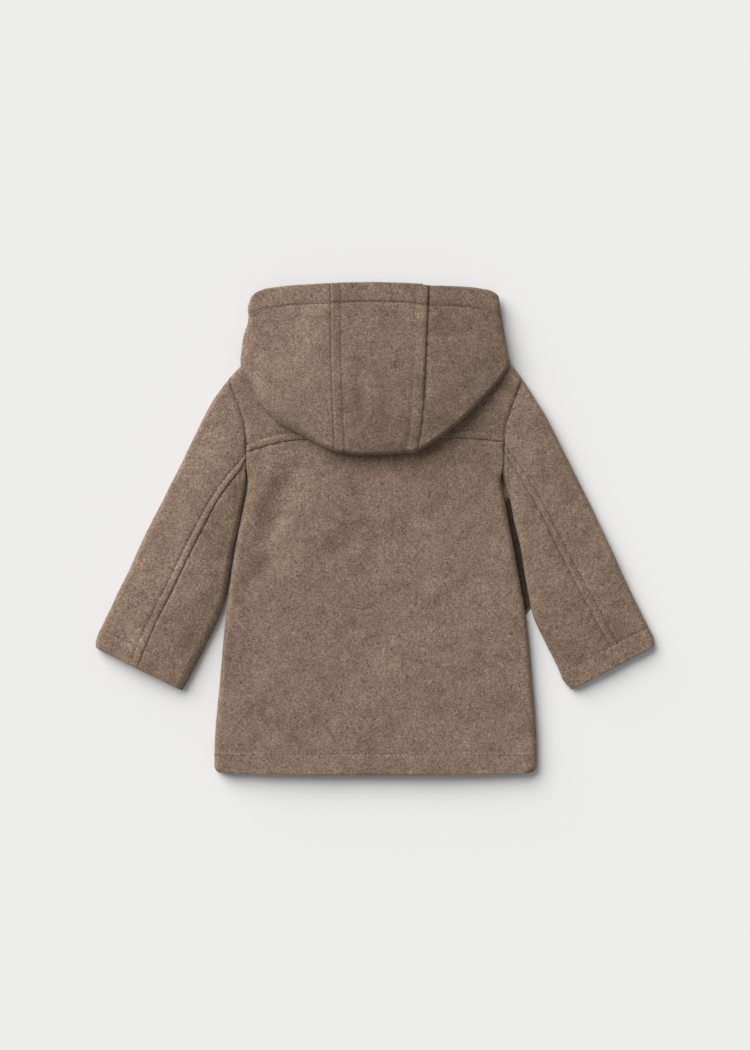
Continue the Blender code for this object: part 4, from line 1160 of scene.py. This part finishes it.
def hood_side(name, rim, side_line, lower, seam, side, seed, material):
    shift = np.array([side * SEAM_GAP / 2, 0])
    inner_line = smooth_line(seam) + shift
    start = joined(smooth_line(rim), inner_line[0], np.array(rim[-1]))
    end = joined(smooth_line(lower), inner_line[-1], np.array(lower[-1]))
    width, length = GRID_SIZES["hood_side"]
    across = spaced(width, CUT_STEPS, ROLL_STEPS, PITCH)
    along = spaced(length, turned_steps(RIM_DEPTH), ROLL_STEPS, PITCH)
    grid = patch(start, end, inner_line, smooth_line(side_line), across, along)
    outer, inner, depth, rim_gap, rim_place = hood_faces(grid)
    away, place = nearest(grid, smooth_line(seam))
    bend = hood_bend(grid, depth)
    trough = stitch_trough(rim_gap - RIM_DEPTH, rim_place, seed + 2) * ease(depth, 0, RIM_FADE)
    dent = seam_relief(away, place, 0, seed) + trough
    if side > 0:
        dent = dent - seam_step(away, place, seam, SEAM_SINK, SINK_REACH)
    return cloth_piece(name, outer, inner, bend, dent, seed, material)


def hood_centre(material):
    left = smooth_line(SEAM_LEFT) + (SEAM_GAP / 2, 0)
    right = smooth_line(SEAM_RIGHT) - (SEAM_GAP / 2, 0)
    start = joined(smooth_line(RIM_CENTRE), left[0], right[0])
    end = joined(smooth_line(LOWER_CENTRE), left[-1], right[-1])
    width, length = GRID_SIZES["hood_centre"]
    across = spaced(width, WELT_STEPS, WELT_STEPS + STRIP_STEPS, PITCH)
    along = spaced(length, turned_steps(RIM_DEPTH), ROLL_STEPS, PITCH)
    grid = patch(start, end, left, right, across, along)
    outer, inner, depth, rim_gap, rim_place = hood_faces(grid)
    bend = hood_bend(grid, depth)
    dent = stitch_trough(rim_gap - RIM_DEPTH, rim_place, seed=62)
    for number, line in enumerate((SEAM_LEFT, SEAM_RIGHT)):
        away, place = nearest(grid, smooth_line(line))
        dent = dent + seam_relief(away, place, STRIP_WELTS[number], 64 + number) * STRIP_RELIEF[number]
    dent = dent + seam_step(away, place, SEAM_RIGHT, SEAM_LIFT, LIFT_REACH)
    return cloth_piece("hood_centre", outer, inner, bend, dent, 66, material)


def yoke_face(grid):
    return rolled(body_top(grid), SIDE_SEAM_Z + FOLD_LIP, body_depth(grid), BODY_ROLL)


def hood_fold(material):
    """The layers hidden under the hood, one rounded piece from its lower fold to the edge of its mouth."""
    across = spaced(FOLD_WIDTH, FOLD_EDGE, FOLD_EDGE, FOLD_PITCH)
    line = hood_fold_line()
    perimeter = at_shares(line[line[:, 1] < FOLD_TOP], across)
    top = top_line()
    neck = at_shares(top[np.abs(top[:, 0]) < NECK_HALF], across)
    mouth = at_shares(smooth_line(MOUTH), across)
    outward = (mouth - neck) / np.linalg.norm(mouth - neck, axis=1)[:, None]
    rows = [perimeter + (neck - perimeter) * s for s in FOLD_SHARES]
    rows += [neck + outward * step for step in NECK_STEPS]
    rows += [neck + (mouth - neck) * s for s in MOUTH_SHARES]
    grid = np.array(rows)
    count = len(MOUTH_SHARES) + 1
    ground = (np.arange(len(rows)) >= len(rows) - count)[:, None]
    depth = distance(grid, line)
    lip = np.clip(depth / HOOD_FOLD_DEPTH, 0, 1)
    climb = ease(grid[..., 1], *SHOULDER_RAMP)
    low = hood_low(grid) - FOLD_LOWER - FOLD_DIP * HOOD_CLEAR * climb * (1 - climb)
    rounding = FOLD_THINNING * HOOD_FOLD_DEPTH * (1 - np.sqrt(1 - (1 - lip) ** 2))
    under = yoke_face(grid) + YOKE_CLEAR + rounding
    under = np.where(ground, 0.0, under)
    roof = hood_roof(grid) - CLOTH - RIM_TURN_UP
    inset = depth - CLOTH - FOLD_INSET * HOOD_CLEAR
    roll = inner_roll(grid)
    full = rolled(roof - HOOD_CLEAR, low, inset, roll)
    thin = np.minimum(full, rolled(CLOTH + 0 * low, low, inset, roll))
    share = np.clip((np.arange(len(rows)) - (len(rows) - count)) / 2, 0, 1)[:, None]
    over = np.maximum(full + (thin - full) * share, under + FOLD_LIP)
    nothing = np.zeros(grid.shape[:-1])
    outer, inner = with_height(grid, over), with_height(grid, under)
    return cloth_piece("hood_fold", outer, inner, nothing, nothing, 81, material)


# --- Scene


def add_floor():
    material = bpy.data.materials.new("pale_floor")
    material.use_nodes = True
    fill(material.node_tree, material.node_tree.nodes["Principled BSDF"], FLOOR)
    bpy.ops.mesh.primitive_plane_add(size=FLOOR_SIZE, location=(0, 0, -FLOOR_DROP))
    floor = bpy.context.object
    floor.name = "floor"
    floor.data.materials.append(material)


def add_light():
    sun = bpy.data.lights.new("key", "SUN")
    sun.energy = SUN_ENERGY
    sun.angle = np.radians(SUN_ANGLE)
    sun.color = SUN_COLOUR
    key = bpy.data.objects.new("key", sun)
    key.rotation_euler = Vector(SUN_HEADING).to_track_quat("-Z", "Y").to_euler()
    bpy.context.scene.collection.objects.link(key)
    world = bpy.data.worlds.new("studio")
    world.use_nodes = True
    sky = {"Color": SKY_COLOUR, "Strength": SKY_STRENGTH}
    fill(world.node_tree, world.node_tree.nodes["Background"], sky)
    bpy.context.scene.world = world


def add_camera():
    data = bpy.data.cameras.new("camera")
    data.lens = LENS
    data.sensor_width = SENSOR
    data.clip_end = CLIP_END
    camera = bpy.data.objects.new("camera", data)
    camera.location = (*FRAME_MIDDLE, FRAME_LEVEL + FRAME_HEIGHT / 2 / (SENSOR / 2 / LENS))
    bpy.context.scene.collection.objects.link(camera)
    bpy.context.scene.camera = camera


def build():
    wool = {name: wool_material(name, tint) for name, tint in TINTS.items()}
    thread = wool["wool_thread"]
    stitches("back_panel", [grid_row(back_panel(wool["wool"]), HEM_DEPTH, "start")], thread)
    stitches("back_yoke", [grid_row(back_yoke(wool["wool"]), STITCH_OFFSET, "start")], thread)
    for side, name in ((-1, "front_left"), (1, "front_right")):
        front(name, side, wool["wool"], wool["wool_painted_shade"])
    for name, sections, side, outer_fold, cuff_show, seed in SLEEVES:
        face = sleeve_piece(name, sections, side, outer_fold, cuff_show, seed, wool["wool_" + name])
        cuff = grid_row(face, CUFF_DEPTH, "end")
        rows = [cuff[cuff[:, 2] > SLEEVE_HEIGHT / 2]]
        if outer_fold:
            rows.append(grid_row(face, STITCH_OFFSET, "left"))
        stitches(name, rows, thread)
    for name, *row in HOOD_SIDES:
        stitches(name, [grid_row(hood_side(name, *row, wool["wool_" + name]), RIM_DEPTH, "start")], thread)
    face = hood_centre(wool["wool_hood_centre"])
    rows = [grid_row(face, RIM_DEPTH, "start")]
    rows += [grid_row(face, welt, end) for welt, end in zip(STRIP_WELTS, ("left", "right"))]
    stitches("hood_centre", rows, thread)
    hood_fold(wool["wool"])


add_floor()
add_light()
add_camera()
build()
bpy.context.scene.view_settings.view_transform = "Standard"
